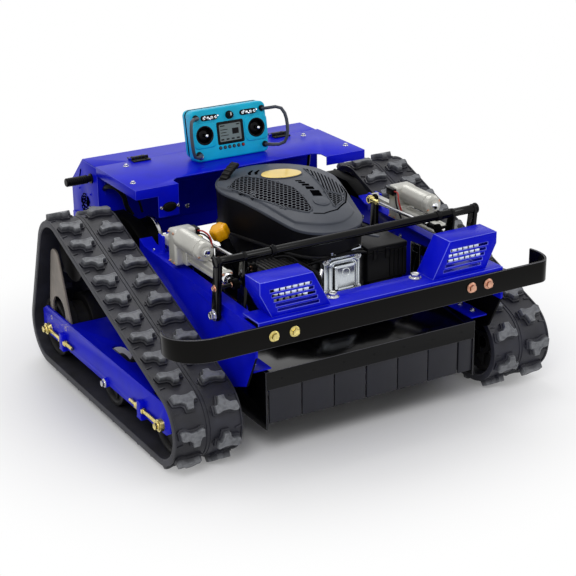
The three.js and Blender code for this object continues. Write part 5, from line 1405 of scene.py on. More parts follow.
# %% [markdown]
# The valve cover
#
# It is pressed from zinc-plated sheet: a flat flange with four ears, and a bulged middle with a
# rounded top. The flange is a plate, and its ears are short round bars. The middle is a second
# plate whose front face is stepped in four times by inset. Bevels give the soft corners of a
# pressing, and a ridge and a ring stand on its top.

# %% Valve cover
VALVE_X, VALVE_Z, VALVE_Y = (-47, 66), (311, 415), -275.0


def front_plate(name, outline, near, deep, soft=0.0, segments=3):
    """A plate drawn in x and z and extruded forward, from deep to near."""
    piece = plate(name, [at(x, deep, z) for x, z in outline], Vector((0, (near - deep) * MM, 0)))
    return bevelled(piece, soft, segments, 40) if soft else piece


flange = front_plate("flange", rounded(VALVE_X[0] + 4, VALVE_X[1] - 4, VALVE_Z[0] + 3,
                                       VALVE_Z[1] - 3, 14), VALVE_Y - 5, VALVE_Y, 1.2)
EARS = [(VALVE_X[0] + 10, VALVE_Z[0] + 10), (VALVE_X[1] - 10, VALVE_Z[0] + 10),
        (VALVE_X[1] - 10, VALVE_Z[1] - 10), (VALVE_X[0] + 10, VALVE_Z[1] - 10)]
ears = [bevelled(bar("ear", at(x, VALVE_Y - 0.2, z), at(x, VALVE_Y - 6.2, z), 10), 1.0, 3, 40)
        for x, z in EARS]
dome = front_plate("dome", rounded(VALVE_X[0] + 14, VALVE_X[1] - 14, VALVE_Z[0] + 6,
                                   VALVE_Z[1] - 8, 18, 8), VALVE_Y - 12, VALVE_Y - 3, 0)
pick_faces(dome, lambda f: f.normal.y < -0.9)
for thickness, depth in ((0.005, 0.002), (0.0035, -0.001), (0.003, 0.009), (0.006, 0.0025)):
    bpy.ops.mesh.inset(thickness=thickness, depth=depth)
bevelled(dome, 1.6, 4, 25)
ridge = front_plate("ridge", rounded(-14, 33, 330, 338, 3.8), VALVE_Y - 24.6, VALVE_Y - 18, 1.5)
ring = turned("ring", at(9.5, VALVE_Y - 18, 376), FRONT, [(13, 0), (13, 5.5), (11.8, 6.8),
                                                          (9.5, 6.8), (8.4, 5.4), (0, 5.0),
                                                          (0, 0)], 40)
build("valve_cover_pressing", [flange, dome, ridge, ring] + ears, zinc_steel, "deck",
     "zinc_steel", ["valve_cover"], angle=30)
bolts("valve_cover_bolts", [(at(x, VALVE_Y - 5.6, z), FRONT, 5.4) for x, z in EARS],
      bright_steel, "deck", "zinc_steel")
tell("valve cover")

# %% [markdown]
# Linear actuators
#
# Two electric actuators lift the mower deck. Each has a cast gearbox at the rear, a motor drum on
# top, and below it a square extruded tube with grooves along its sides, out of which the bright
# rod slides. Drum and gearbox are turned and bevelled primitives; the extrusion is one outline
# with its grooves, drawn once and extruded along.

# %% Actuator housings
ACT_X, MOTOR_Z, TUBE_Z = 320, 470, 422
GEAR = (-92, -52, 397, 490)
MOTOR_OUT, GEAR_OUT = 16, 40


def extrusion(x, z, half, start, end):
    """A square tube with a groove in each side and rounded corners."""
    g, d = half * 0.34, half * 0.18
    side = [(half, -half * 0.72), (half, -g), (half - d, -g * 0.8), (half - d, g * 0.8),
            (half, g), (half, half * 0.72), (half * 0.72, half)]
    outline = []
    for turn in range(4):
        for a, b in side:
            for _ in range(turn):
                a, b = -b, a
            outline.append(at(x + a, start, z + b))
    return bevelled(plate("extrusion", outline, Vector((0, (end - start) * MM, 0))), 0.6, 2, 30)


def actuator(side, hand):
    x = hand * ACT_X
    y0, y1, z0, z1 = GEAR
    xm = x + hand * MOTOR_OUT
    motor_line, home = at(xm, 0, MOTOR_Z - 2), "actuator_housing_" + side
    gearbox = block_at("gearbox", x + min(-21, hand * GEAR_OUT), x + max(21, hand * GEAR_OUT),
                       y0, y1, z0, z1, 7.0, None, 4)
    collar = block_at("collar", x - 19.5, x + 19.5, -112, y0 + 2, 401, 443, 3.0, None, 3)
    motor = turned("motor", motor_line, FRONT, [
        (0, 84), (26.6, 84), (26.6, 102), (25.8, 104), (25.8, 198), (24.8, 203), (23.6, 208),
        (20, 211), (13, 212), (12.2, 215.6), (9.5, 217), (0, 217),
    ], 56)
    seam = turned("seam", motor_line, FRONT,
                  [(25, 190), (26.9, 190.6), (26.9, 194.4), (25, 195)], 56)
    tube_body = extrusion(x, TUBE_Z, 15.6, -108, -278)
    end_cap = block_at("end_cap", x - 15.7, x + 15.7, -290, -272, TUBE_Z - 17, TUBE_Z + 17, 3.0,
                       None, 3)
    nose = turned("nose", at(x, 0, TUBE_Z), FRONT,
                  [(8.6, 284), (15, 284), (15.6, 285), (15.6, 297), (14.6, 299.5), (11.5, 299.5),
                   (10.6, 297), (8.6, 297)], 48)
    button = turned("button", motor_line, FRONT,
                    [(0, 216), (9, 216), (9, 219), (7.4, 221), (0, 221.6)], 40)
    lug = turned("lug", at(x - 11, 45, TUBE_Z), X_AXIS,
                 [(5.4, 0), (12, 0), (13, 1), (13, 21), (12, 22), (5.4, 22), (5.4, 0)], 40)
    neck = block_at("neck", x - 9, x + 9, y1 - 2, 41, TUBE_Z - 9, TUBE_Z + 9, 2.0)
    build("actuator_%s_case" % side,
          [gearbox, collar, motor, seam, tube_body, end_cap, lug, neck], actuator_grey, home,
          "actuator_aluminium", [home], angle=32)
    build("actuator_%s_nose" % side, [nose, button], chrome, home, "actuator_aluminium")
    heads = [(at(xm + dx, -209, MOTOR_Z - 2 + dz), FRONT, 2.6)
             for dx, dz in ((17, 10), (-17, -10))]
    heads += [(at(x + sign * (21 if sign * hand < 0 else GEAR_OUT), y, z), X_AXIS * sign, 2.6)
              for sign in (-1, 1) for y in (-84, -60) for z in (405, 482)]
    heads += [(at(x + dx, -290, TUBE_Z + dz), FRONT, 2.6)
              for dx in (-11, 11) for dz in (-12.4, 12.4)]
    bolts("actuator_%s_screws" % side, heads, copper_steel, home, "actuator_aluminium")
    inner = x - hand * 26
    plug = [block_at("plug", inner - 6, inner + 6, -90, -58, 468, 486, 1.5, dark_plastic)]
    for material, knots in (
            (red_wire, ((0, -88, 480), (6, -114, 482), (14, -130, 468), (10, -140, 438))),
            (dark_plastic, ((0, -86, 472), (9, -108, 472), (18, -126, 456), (14, -144, 422)))):
        wires = tube("wire", [(inner - hand * dx, y, z) for dx, y, z in knots], 2.2)
        plug.append(painted(wires, material))
    build("actuator_%s_plug" % side, plug, None, home, "dark_plastic")
    rod_piece = joined("actuator_%s_shaft" % side, [
        bar("shaft", at(x, -100, TUBE_Z), at(x, -318, TUBE_Z), 8, 40),
        turned("eye", at(x - 7, -330, TUBE_Z), X_AXIS,
               [(6.4, 0), (12, 0), (13, 1), (13, 13), (12, 14), (6.4, 14), (6.4, 0)], 40),
        bar("nut", at(x, -309, TUBE_Z), at(x, -317, TUBE_Z), 11.4, 6),
    ])
    bevelled(rod_piece, 0.4, 2, 40)
    done(rod_piece, bright_steel, "actuator_rod_" + side, "bright_steel",
         ["actuator_rod_" + side], angle=40)
    tinted(rod_piece, satin_black, lambda f: f.center.y < at(0, -307, 0).y)


for side, hand in SIDES:
    actuator(side, hand)
tell("actuators")

# %% [markdown]
# Lift frame and rods
#
# The lift frame is a bent tube across the machine with two arms that hang from pivots on the side
# plates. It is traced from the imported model. Big silver bolts close its pivots, and copper-
# coloured ones its pins. Each stay rod has a black eye in front and a yellow zinc one behind,
# both with a lock nut.

# %% Lift frame, rockers and stay rods
done(traced("lift_frame", 0.5, 2, 40), gloss_black, "lift_frame", "black_paint", ["lift_frame"],
     angle=42)
pads = []
for hand in (-1, 1):
    lower = [(-321 + 14 * math.cos(a), 351 + 14 * math.sin(a))
             for a in (math.pi + math.pi * i / 14 for i in range(15))]
    upper = [(-338 + 11.5 * math.cos(a), 490 + 11.5 * math.sin(a))
             for a in (math.pi * i / 12 for i in range(13))]
    pad = plate("pad", [at(hand * 372, y, z) for y, z in lower + upper],
                Vector((hand * 3.4 * MM, 0, 0)))
    pads.append(bevelled(pad, 0.9, 2, 40))
    pads.append(bevelled(bar("hub", at(hand * 372, -338, 490), at(hand * 378, -338, 490), 14, 32),
                         1.5, 3, 40))
build("lift_frame_pads", pads, gloss_black, "lift_frame", "black_paint")
pivots = [(at(hand * 375.2, -321, 351), X_AXIS * hand, 10.5) for hand in (-1, 1)]
pins = [(at(hand * x, y, z), X_AXIS * hand * out, size) for hand in (-1, 1)
        for x, y, z, out, size in ((330.5, -330, 422, 1, 4.4), (375.2, -330, 422, 1, 6.2),
                                   (274.6, -325, 451, -1, 4.4))]
bolts("lift_frame_pivot_bolts", pivots, bright_steel, "lift_frame", "bright_steel")
bolts("lift_frame_pin_bolts", pins, copper_steel, "lift_frame", "bright_steel")
clamps = []
for x in (-222, 258):
    clamps.append(turned("clamp", at(x, -338, 490), X_AXIS,
                         [(11.2, -6), (12.8, -6), (12.8, 6), (11.2, 6), (11.2, -6)], 32))
    clamps.append(block_at("tail", x - 2, x + 2, -342, -336, 501, 505, 0.6))
build("lift_frame_ties", clamps, dark_plastic, "lift_frame", "dark_plastic")

for side, hand in SIDES:
    x = hand * 268
    start, end = at(x, -325, 451), at(x, -11, 441)
    along = (end - start).normalized() * MM
    found = [bar("stay", start + along * 16, end - along * 16, 4.6, 24)]
    for place, way in ((start, along), (end, -along)):
        found += [turned("eye", place - X_AXIS * 6 * MM, X_AXIS,
                         [(5.2, 0), (10.5, 0), (11.6, 1), (11.6, 11), (10.5, 12), (5.2, 12),
                          (5.2, 0)], 32),
                  bar("socket", place + way * 9, place + way * 34, 6.8, 24, 6.2),
                  bar("nut", place + way * 34, place + way * 39, 8.2, 6)]
    stay = bevelled(joined("stay_%s_rod" % side, found), 0.4, 2, 40)
    done(stay, bright_steel, "stay_rod_" + side, "bright_steel", ["stay_rod_" + side], angle=40)
    front_end, rear_end = (start + along * 40).y, (end - along * 40).y
    tinted(stay, yellow_zinc, lambda f: f.center.y > rear_end)
    tinted(stay, satin_black, lambda f: f.center.y < front_end)
    rocker = "rear_rocker_" + side
    traced_part(rocker, 0.8, black_paint, rocker, "black_paint", 3)
    bolts(rocker + "_bolts", [(at(hand * 279, y, z), -X_AXIS * hand, size)
                              for y, z, size in ((-7, 341, 6.5), (-11, 441, 5.0))],
          yellow_zinc, rocker, "bright_steel")
tell("lift")

# %% [markdown]
# Wheels and sprockets
#
# An idler is a wide black plastic wheel with a groove for the belt's guides. It is turned on a
# lathe from its profile: rim, dished web and hub, with a sealed bearing in the hub. Eight ribs
# stiffen the web on each side. The sprocket has two steel discs with bars between them, and the
# drive motor sits on the inside, a drum with a bright rim.

# %% Idlers and rollers
AXLES = {"front_idler": (-349, 115, 80.7), "rear_idler": (344, 115, 80.7),
         "mid_roller": (-30, 99.3, 65)}
TENSIONED = ((-349, 1), (344, -1))
HALF_WHEEL = 60
EIGHTHS = [math.pi * i / 4 for i in range(8)]


def wheel(kind, side, hand):
    y, z, r = AXLES[kind]
    centre = at(hand * TRACK_CENTRE_X, y, z)
    out, h = X_AXIS * hand, HALF_WHEEL
    profile = [
        (17.5, -h + 4), (30, -h + 4), (31, -h + 6), (32, -h + 17), (r - 15, -h + 12),
        (r - 12, -h + 3), (r - 9, -h), (r - 2, -h), (r, -h + 2), (r, -22), (r - 2, -20),
        (r - 20.5, -19), (r - 20.5, 19), (r - 2, 20), (r, 22), (r, h - 2), (r - 2, h),
        (r - 9, h), (r - 12, h - 3), (r - 15, h - 12), (32, h - 17), (31, h - 6), (30, h - 4),
        (17.5, h - 4), (17.5, -h + 4),
    ]
    body = kind + "_" + side
    found = [turned("rim", centre, out, profile, 64)]
    for angle in EIGHTHS:
        spoke = Y_AXIS * math.cos(angle) + Z_AXIS * math.sin(angle)
        for sign in (-1, 1):
            low = centre + spoke * 29 * MM + out * sign * (h - 13) * MM
            high = centre + spoke * (r - 11) * MM + out * sign * (h - 9) * MM
            found.append(bar("rib", low, high, 3.4, 8, 3.0))
    build(body + "_tyre", found, wheel_plastic, body, "wheel_plastic", [body], angle=30)
    bearing = turned("bearing", centre, out,
                     [(10.7, h - 5.5), (17.4, h - 5.5), (17.4, h - 4.6), (15, h - 4.2),
                      (12.5, h - 4.6), (10.7, h - 4.4), (10.7, h - 5.5)], 40)
    build(body + "_bearing", [bearing], bright_steel, body, "wheel_plastic")


for kind in AXLES:
    for side, hand in SIDES:
        wheel(kind, side, hand)
tell("wheels")

# %% [markdown]
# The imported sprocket, drive motor, guard and beam are traced. Bare metal parts on them get their
# own finish by their place: the tension bolts with their eyes are yellow zinc, the motor's rim is
# bright, and the guard plate is raw steel.

# %% Sprockets, motors, guards and beams
DRIVE_Y, DRIVE_Z = WHEELS[0][0]
for side, hand in SIDES:
    traced_part("sprocket_" + side, 0.5, muffler_steel, "sprocket_" + side, "bright_steel")
    traced_part("drive_motor_" + side, 0.9, satin_black, "root", "black_paint", 3)
    rim = turned("drive_motor_%s_rim" % side, at(hand * 252, DRIVE_Y, DRIVE_Z), X_AXIS * hand,
                 [(52, 0), (58.4, 0), (59.4, 1), (59.4, 8.6), (58.4, 9.6), (52, 9.6), (52, 0)],
                 56)
    done(rim, bright_steel, "root", "bright_steel")
    face = [(at(hand * 249.5, DRIVE_Y + 40 * math.cos(a), DRIVE_Z + 40 * math.sin(a)),
             -X_AXIS * hand, 3.6) for a in EIGHTHS]
    bolts("drive_motor_%s_bolts" % side, face, zinc_steel, "root", "bright_steel")
    traced_part("sprocket_guard_" + side, 0.8, guard_steel, "root", "guard_steel")
    bolts("sprocket_guard_%s_bolts" % side,
          [(at(hand * 529.8, y, z), X_AXIS * hand, 6) for y, z in ((230, 152), (328, 152))],
          yellow_zinc, "root", "bright_steel")
    beam = sheet("track_beam_" + side)
    bolts("track_beam_%s_eyes" % side,
          [(at(hand * 547.6, y, 115), X_AXIS * hand, 9) for y, sign in TENSIONED], yellow_zinc,
          "root", "bright_steel")
    rods = [bar(shape, at(hand * 541.5, y + sign * near, 115),
                at(hand * 541.5, y + sign * far, 115), radius, sides)
            for y, sign in TENSIONED for shape, near, far, radius, sides in (
                ("rod", 14, 166, 5.2, 20), ("nut", 86, 93, 8.6, 6), ("nut", 116, 123, 8.6, 6),
                ("nut", 124, 131, 8.6, 6))]
    rods = joined("track_beam_%s_tension" % side, rods)
    done(bevelled(rods, 0.4, 2, 40), yellow_zinc, "root", "bright_steel")
    cut_across(beam, at(0, -300, 0), Y_AXIS)
    tinted(beam, yellow_zinc, lambda f: abs(f.center.x) > 0.5367 and any(
        abs(f.center.y - at(0, y, 0).y) < 0.0175 for y, sign in TENSIONED))
    tinted(beam, satin_black, lambda f: abs(f.center.x) < 0.53 and f.center.y < at(0, -300, 0).y)
    blocks = [block_at("bracket", hand * 534, hand * 548.6, y + sign * 104 - half,
                       y + sign * 104 + half, z0, z1, soft)
              for y, sign in TENSIONED
              for half, z0, z1, soft in ((11, 93, 137, 1.2), (13.4, 90, 94, 0.8))]
    build("track_beam_%s_brackets" % side, blocks, blue_paint, "root", "blue_paint")
    bolts("track_beam_%s_axle" % side, [(at(hand * 543, -30, 99.3), X_AXIS * hand, 8.5)],
          bright_steel, "root", "bright_steel")
tell("drives and beams")

# %% [markdown]
# Side plates, equipment box and shelf
#
# These are folded from thick sheet and powder coated, so they are traced and only get fine
# rounded edges, painted a paler blue as a highlight. What makes them look built are the fasteners
# and fittings: a row of small bolts on the inner faces, black hinges on the lid, a louvred vent in
# the end wall, a rubber grip on a bar, and a capped socket on the shelf's front panel.

# %% Sheet metal
for name in ("side_plate_left", "side_plate_right", "equipment_box", "top_shelf"):
    sheet(name)
sheet("box_lid", "box_lid")
for side, hand in SIDES:
    side_plate = bpy.data.objects["side_plate_%s_body" % side]
    for place, direction in ((at(0, 128, 0), Y_AXIS), (at(0, -150, 0), Y_AXIS),
                             (at(0, 0, 296), Z_AXIS), (at(0, 0, 376), Z_AXIS)):
        cut_across(side_plate, place, direction)
    tinted(side_plate, satin_black, lambda f: (
        (f.center.y > at(0, 128, 0).y and f.center.z > 0.376)
        or (f.center.y < at(0, -150, 0).y and f.center.z < 0.296
            and f.normal.x * hand < 0.5)))
    gap = plate("gap", [at(hand * 342, y, z) for y, z in
                        ((303, 442), (325, 396), (399.5, 396), (399.5, 442))],
                Vector((hand * 22 * MM, 0, 0)))
    carve(side_plate, outward(gap))
    leg = box("leg", at(hand * 342, 325, 396), at(hand * 356, 399.5, 500))
    carve(bpy.data.objects["top_shelf_body"], outward(leg))
fold = box("fold", at(-250, 150.6, 490), at(250, 200.4, 524.7))
carve(bpy.data.objects["top_shelf_body"], outward(fold))
apron = block_at("apron", -349.4, 349.4, 400, 403, 301, 344, 0.6)
build("box_apron", [apron], blue_paint, "root", "blue_paint")

inner = [(at(hand * 349.8, y, z), -X_AXIS * hand, 4.2) for hand in (-1, 1) for y, z in
         ((60, 392), (-130, 250), (150, 330), (-300, 240), (150, 250), (-40, 330))]
bolts("side_plate_bolts", inner, zinc_steel, "root", "bright_steel")
tell("sheet metal")

# %% [markdown]
# A hinge is a row of five short barrels on one line, with a leaf on each side. The lid's barrels
# and leaf have to ride with the lid and the box's with the box, so each is a piece of its own.

# %% Lid hinges
HINGE_Y, HINGE_Z = 400, 532.8
for index, middle in enumerate((-222, 222)):
    knuckles = {"root": [], "box_lid": []}
    for part in range(5):
        x = middle - 26 + part * 10.4
        owner = "box_lid" if part % 2 else "root"
        knuckles[owner].append(bar("barrel", at(x + 0.3, HINGE_Y, HINGE_Z),
                                   at(x + 10.1, HINGE_Y, HINGE_Z), 4.9, 24))
    for owner, near, far, screw, low, top in (("root", -22, -1, -12, 528.2, 531.4),
                                              ("box_lid", 1, 24, 14, 528.6, 532.4)):
        leaf = block_at("leaf", middle - 26, middle + 26, HINGE_Y + near, HINGE_Y + far, low, top,
                        0.8)
        build("hinge_%s_%d" % (owner, index), knuckles[owner] + [leaf], dark_plastic, owner,
              "dark_plastic")
        bolts("hinge_screws_%s_%d" % (owner, index),
              [(at(middle + dx, HINGE_Y + screw, top - 0.6), UP, 2.6) for dx in (-15, 15)],
              dark_plastic, owner, "dark_plastic")
tell("hinges")

# %% [markdown]
# The vent in each end wall is a pressed rosette: rings of short raised arcs. Each arc is an
# outline between two radii, extruded. The arcs and the slot beside them are near black, painted
# shade for the dark grooves and the opening of the pressing. The grip beside the vent is a ribbed
# rubber sleeve.

# %% Vents and grip
VENT_Y, VENT_Z = 489, 396


def wall_plate(name, outline, x, out, thick, soft):
    piece = plate(name, [at(x, y, z) for y, z in outline], Vector((out * thick * MM, 0, 0)))
    return bevelled(piece, soft, 2, 40)


for side, hand in SIDES:
    wall = hand * 349.6
    arcs = []
    for ring_index, (inner_radius, outer_radius, count) in enumerate(
            ((7, 11, 3), (14, 18, 4), (21, 25, 5), (28, 31.5, 6))):
        for part in range(count):
            start = 2 * math.pi * (part + 0.3 * ring_index) / count
            sweep = 2 * math.pi / count * 0.78
            steps = [start + sweep * i / 10 for i in range(11)]
            corners = [(outer_radius, a) for a in steps]
            corners += [(inner_radius, a) for a in reversed(steps)]
            outline = [(VENT_Y + r * math.cos(a), VENT_Z + r * math.sin(a)) for r, a in corners]
            arcs.append(wall_plate("arc", outline, wall, hand, 1.6, 0.4))
    build("vent_%s_louvres" % side, arcs, cover_black, "root", "dark_plastic")
    screws = [(at(wall, VENT_Y + dy, VENT_Z + dz), X_AXIS * hand, 2.8)
              for dz in (38, -38) for dy in (-38, 38)]
    bolts("vent_%s_screws" % side, screws, blue_paint, "root", "blue_paint")
    slot_piece = wall_plate("vent_%s_slot" % side,
                            [(526, 452), (532, 452), (516, 492), (510, 492)], wall, hand, 0.8, 0.2)
    done(slot_piece, cover_black, "root", "dark_plastic")

grip = turned("side_grip_sleeve", at(-350, 440, 484), LEFT,
              [(0, 0), (14, 0), (14, 4), (9, 4), (9, 12), (11.6, 13)] + [
                  point for i in range(10)
                  for point in ((12, 15 + i * 5.4), (12, 18.4 + i * 5.4), (11, 19 + i * 5.4),
                                (11, 19.8 + i * 5.4))
              ] + [(12, 70), (12, 73.5), (10, 75.8), (0, 75.8)], 36)
done(grip, dark_plastic, "root", "dark_plastic", ["side_grip"])
tell("vents and grip")

# %% [markdown]
# On the shelf: bolts near the corners, and on its left front panel an oval rubber cover over the
# charging socket, held by two bright screws. Under it hang a hose and some cables.

# %% Shelf fittings
tops = [(at(hand * x, y, 527.9), UP, 5.6) for hand in (-1, 1) for x, y in ((280, 360), (329, 211))]
bolts("shelf_bolts", tops, bright_steel, "root", "bright_steel")
PANEL_Y = span("top_shelf")[2]


def socket_plate(name, long, wide, thick, soft, segments):
    outline = [at(x, PANEL_Y + 0.2, z) for x, z in oval((-256, 469), long, wide, 0.0, 32)]
    return bevelled(plate(name, outline, FRONT * thick * MM), soft, segments, 40)


cap, rim = socket_plate("cap", 17, 10.5, 4.2, 1.6, 3), socket_plate("rim", 20.5, 13.5, 1.6, 0.5, 2)
build("socket_cover", [cap, rim], dark_plastic, "root", "dark_plastic")
bolts("socket_screws", [(at(x, PANEL_Y - 1.0, 469), FRONT, 3.2) for x in (-280.5, -231.5)],
      bright_steel, "root", "bright_steel")

bolts("box_front_bolts", [(at(x, 400, z), FRONT, 5) for x, z in
                          ((-190, 470), (190, 470), (-80, 369), (80, 369))], bright_steel,
      "root", "bright_steel")
hoses = [tube("hose", [(-330, 398, 462), (-332, 372, 476), (-318, 352, 476), (-300, 344, 452),
                       (-292, 340, 420), (-280, 335, 396)], 7, 16),
         tube("cable", [(-306, 398, 470), (-300, 360, 486), (-276, 330, 470), (-262, 322, 430),
                        (-258, 316, 405)], 3.4),
         tube("cable", [(300, 398, 470), (296, 360, 484), (280, 332, 462), (268, 322, 430),
                        (262, 316, 405)], 4.4)]
build("box_hoses", hoses, dark_plastic, "root", "dark_plastic", angle=50)
tell("shelf")

# %% [markdown]
# The back of the box is not in the photograph. It gets what such a box has: two draw latches
# that hold the lid, each with its hook on the lid, a pressed vent and a row of screws.

# %% Latches, vent and screws at the back
REAR_Y = 583
for side, hand in SIDES:
    x = hand * 205
    base = block_at("base", x - 15, x + 15, REAR_Y - 0.4, REAR_Y + 2.4, 392, 436, 1.0)
    lever = block_at("lever", x - 10, x + 10, REAR_Y + 2, REAR_Y + 7.5, 396, 424, 2.0)
    links = [bar("link", at(x + dx, REAR_Y + 4.4, 420), at(x + dx, REAR_Y + 3.6, 441), 1.6, 12)
             for dx in (-8, 8)]
    build("lid_latch_" + side, [base, lever] + links, zinc_steel, "root", "bright_steel")
    hook = plate("hook", [at(x - 11, y, z) for y, z in
                          ((560, 466.4), (584.4, 443.2), (586.6, 447), (562, 470.4))],
                 Vector((22 * MM, 0, 0)))
    build("lid_hook_" + side, [bevelled(hook, 0.8, 2, 40)], zinc_steel, "box_lid",
          "bright_steel")
louvres = [block_at("louvre", -78, 78, REAR_Y - 0.5, REAR_Y + 3.2, z, z + 5.5, 1.6)
           for z in range(362, 412, 10)]
build("rear_vent", louvres, blue_paint, "root", "blue_paint")
bolts("rear_screws", [(at(x, REAR_Y, 352), -FRONT, 4.4) for x in (-325, -180, 180, 325)],
      bright_steel, "root", "bright_steel")
tell("back of the box")

# %% [markdown]
# The battery in the box is a moulded case with a lid, and two terminals with a red and a black
# lead.

# %% Battery
x0, x1, y0, y1, z0, z1 = span("battery")
case = [block_at("shell", x0, x1, y0, y1, z0, z1 - 20, 3, None, 3),
        block_at("top", x0 + 1, x1, y0 + 1, y1, z1 - 24, z1, 2.5, None, 3)]
build("battery_case_body", case, battery_case, "root", "battery_case", ["battery"])
posts = []
for x, material in ((x0 + 28, red_wire), (x1 - 28, dark_plastic)):
    post = bar("post", at(x, y0 + 30, z1 - 2), at(x, y0 + 30, z1 + 12), 9, 24, 7.5)
    lead = tube("lead", [(x, y0 + 30, z1 + 8), (x, y0, z1 + 14), (x * 1.3, y0 - 6, z1 - 30),
                         (x * 1.5, y0 - 4, z1 - 90)], 3.2)
    posts += [bevelled(painted(post, material), 1.2, 2, 40), painted(lead, material)]
build("battery_leads", posts, None, "root", "battery_case", angle=50)
tell("battery")

# %% [markdown]
# Cutting deck and skirt
#
# The deck is a welded hood of sheet steel, black inside and out. Its front wall carries a rubber
# skirt that is slit into strips. Each strip is a bevelled block of its own, clamped under a steel
# strap with small bolts, so that they part a little from each other as rubber flaps do.

# %% Deck, skirt and brackets
# The deck's bevels take a paler black, a painted highlight along its edges.
done(traced("deck_shell", 0.9, 2, 30, (gloss_black, black_edge)), None, "deck",
     "black_paint", ["deck_shell"])
strips = []
for index in range(7):
    x0, lean = -297 + index * 92.5, (index % 3 - 1) * 0.7
    strips.append(block_at("strip", x0 + 1.8, min(x0 + 90.7, 301.7), -440.7 + lean, -434.9 + lean,
                           93.4, 206, 1.3, None, 2))
strips.append(block_at("top", -297, 301.7, -440.0, -434.8, 200, 216, 0.8))
build("front_skirt_flaps", strips, skirt_rubber, "deck", "skirt_rubber", ["front_skirt"])
strap = block_at("strap", -296, 300, -442.4, -440.6, 203, 214, 0.8)
build("skirt_strap", [strap], satin_black, "deck", "black_paint")
bolts("skirt_bolts", [(at(-262 + 87.5 * i, -442.4, 208.5), FRONT, 2.6) for i in range(7)],
      satin_black, "deck", "black_paint")
rear_cover = block_at("rear_cover", -214, -96, 214, 304, 240.2, 312, 10, None, 4)
ribs_here = [block_at("rib", -200 + 22 * i, -194 + 22 * i, 220, 298, 308, 315, 1.5)
             for i in range(5)]
build("deck_rear_cover", [rear_cover] + ribs_here, dark_plastic, "deck", "dark_plastic")
deck_bolts = [(at(x, y, 240.2), UP, 6.0) for x, y in
              ((-150, -300), (150, -300), (-205, 40), (205, 40), (-150, 240), (150, 240))]
bolts("deck_bolts", deck_bolts, bright_steel, "deck", "zinc_steel")
WING = [(292, -300), (322, -300), (340, -322), (340, -448), (292, -448)]
wings = [bevelled(plate("wing", [at(hand * x, y, 240.2) for x, y in WING], UP * 4 * MM), 0.7, 2, 40)
         for hand in (-1, 1)]
build("deck_wings", wings, blue_paint, "deck", "blue_paint")
bolts("deck_wing_bolts", [(at(hand * 322, y, 244.1), UP, 5.6) for hand in (-1, 1)
                          for y in (-360, -412)], bright_steel, "deck", "bright_steel")
tell("deck")

# %% [markdown]
# The engine under the cover
#
# The casting is traced. Around it come the parts that fill the photograph's dark gaps: two stacks
# of cooling fins, a throttle linkage, the boot of the spark plug with its lead, a fuel hose, a
# bright pipe with a clip, and a bundle of wires beside a thicker loom.

# %% Casting, fins and cylinder fittings
done(traced("engine_block", 0.7, 2, 28), engine_aluminium, "deck", "engine_aluminium",
     ["engine_block"])
fins = [block_at("fin", x0, x1, y, y + 2.6, 312, 404, 0.7)
        for y in (-262 + 12.2 * i for i in range(9)) for x0, x1 in ((-66, -49), (69, 86))]
build("cylinder_fins", fins, engine_aluminium, "deck", "engine_aluminium")
boot = turned("boot", at(-54, -268, 360), FRONT + LEFT * 0.4, [
    (0, 0), (8, 0), (8, 20), (9.5, 22), (9.5, 34), (7, 37), (0, 37)], 28)
hoses = [boot, tube("lead", [(-68, -300, 360), (-92, -300, 380), (-104, -270, 410),
                             (-112, -220, 416), (-126, -180, 404)], 3.6, 14),
         tube("fuel", [(84, -262, 398), (74, -288, 412), (44, -296, 421), (-20, -294, 421),
                       (-62, -286, 414), (-84, -262, 398)], 4.2, 14),
         tube("loom", [(-150, -284, 300), (-120, -318, 318), (-92, -322, 350), (-80, -318, 384),
                       (-96, -296, 410)], 6.0, 14)]
for i in range(5):
    hoses.append(tube("wire", [(-128 + 5 * i, -300 - 3 * i, 296), (-116 + 6 * i, -316, 330 + 4 * i),
                               (-110 + 4 * i, -304, 366 + 5 * i),
                               (-120 + 3 * i, -270, 388 + 4 * i)], 2.1, 10))
build("engine_hoses", hoses, dark_plastic, "deck", "dark_plastic", angle=50)
clip = turned("clip", at(-76, -300, 362), FRONT * 0.5 + UP, [
    (9, 0), (10.6, 0), (10.6, 6), (9, 6), (9, 0)], 32)
pipe = tube("pipe", [(-72, -304, 330), (-75, -310, 352), (-71, -306, 376), (-60, -298, 396)],
            5.4, 16)
build("engine_pipe", [clip, pipe], bright_steel, "deck", "zinc_steel", angle=50)
linkage = [bar("link", at(-20, -292, 424), at(60, -286, 428), 2.2, 12),
           bar("link", at(60, -286, 428), at(84, -230, 430), 2.2, 12),
           block_at("plate", -34, 20, -300, -270, 417, 420, 0.6),
           bar("post", at(-26, -290, 414), at(-26, -290, 432), 4, 16),
           bar("post", at(8, -284, 414), at(8, -284, 430), 4, 16)]
build("throttle_linkage", linkage, zinc_steel, "deck", "zinc_steel")
lever = slab((96, -205), (128, -268), 16, 10)
piece = plate("lever", [at(x, y, 436) for x, y in lever], Vector((0, 0, 5 * MM)))
build("control_lever", [bevelled(piece, 2.0, 3, 40)], grey_plastic, "deck", "cover_plastic")
tell("engine")

# %% [markdown]
# The air box has a lid, two clips and ribs on its front. The silencer is a rounded shell in a row
# of fins. Both are dark, so bevels and ribs have to show them.

# %% Air box and silencer
x0, x1, y0, y1, z0, z1 = span("air_cleaner")
shapes = [block_at("air_body", x0, x1, y0, y1, z0, z1 - 14, 6, None, 4),
          block_at("air_lid", x0, x1, y0, y1, z1 - 16, z1, 4, None, 4)]
shapes += [block_at("rib", x - 2, x + 2, y0 - 3, y0 + 8, z0 + 8, z1 - 16, 1.2)
           for x in (x1 - 14 - 13 * i for i in range(4))]
shapes += [block_at("clip", x - 6, x + 6, y0 - 3.4, y0 + 2, z1 - 34, z1 - 6, 1.4)
           for x in (x0 + 22, x1 - 62)]
shapes.append(block_at("foot", x0 + 12, x1 - 10, y0 + 6, y1 - 8, 300, 324, 3.0))
build("air_cleaner_case", shapes, dark_plastic, "deck", "dark_plastic", ["air_cleaner"])

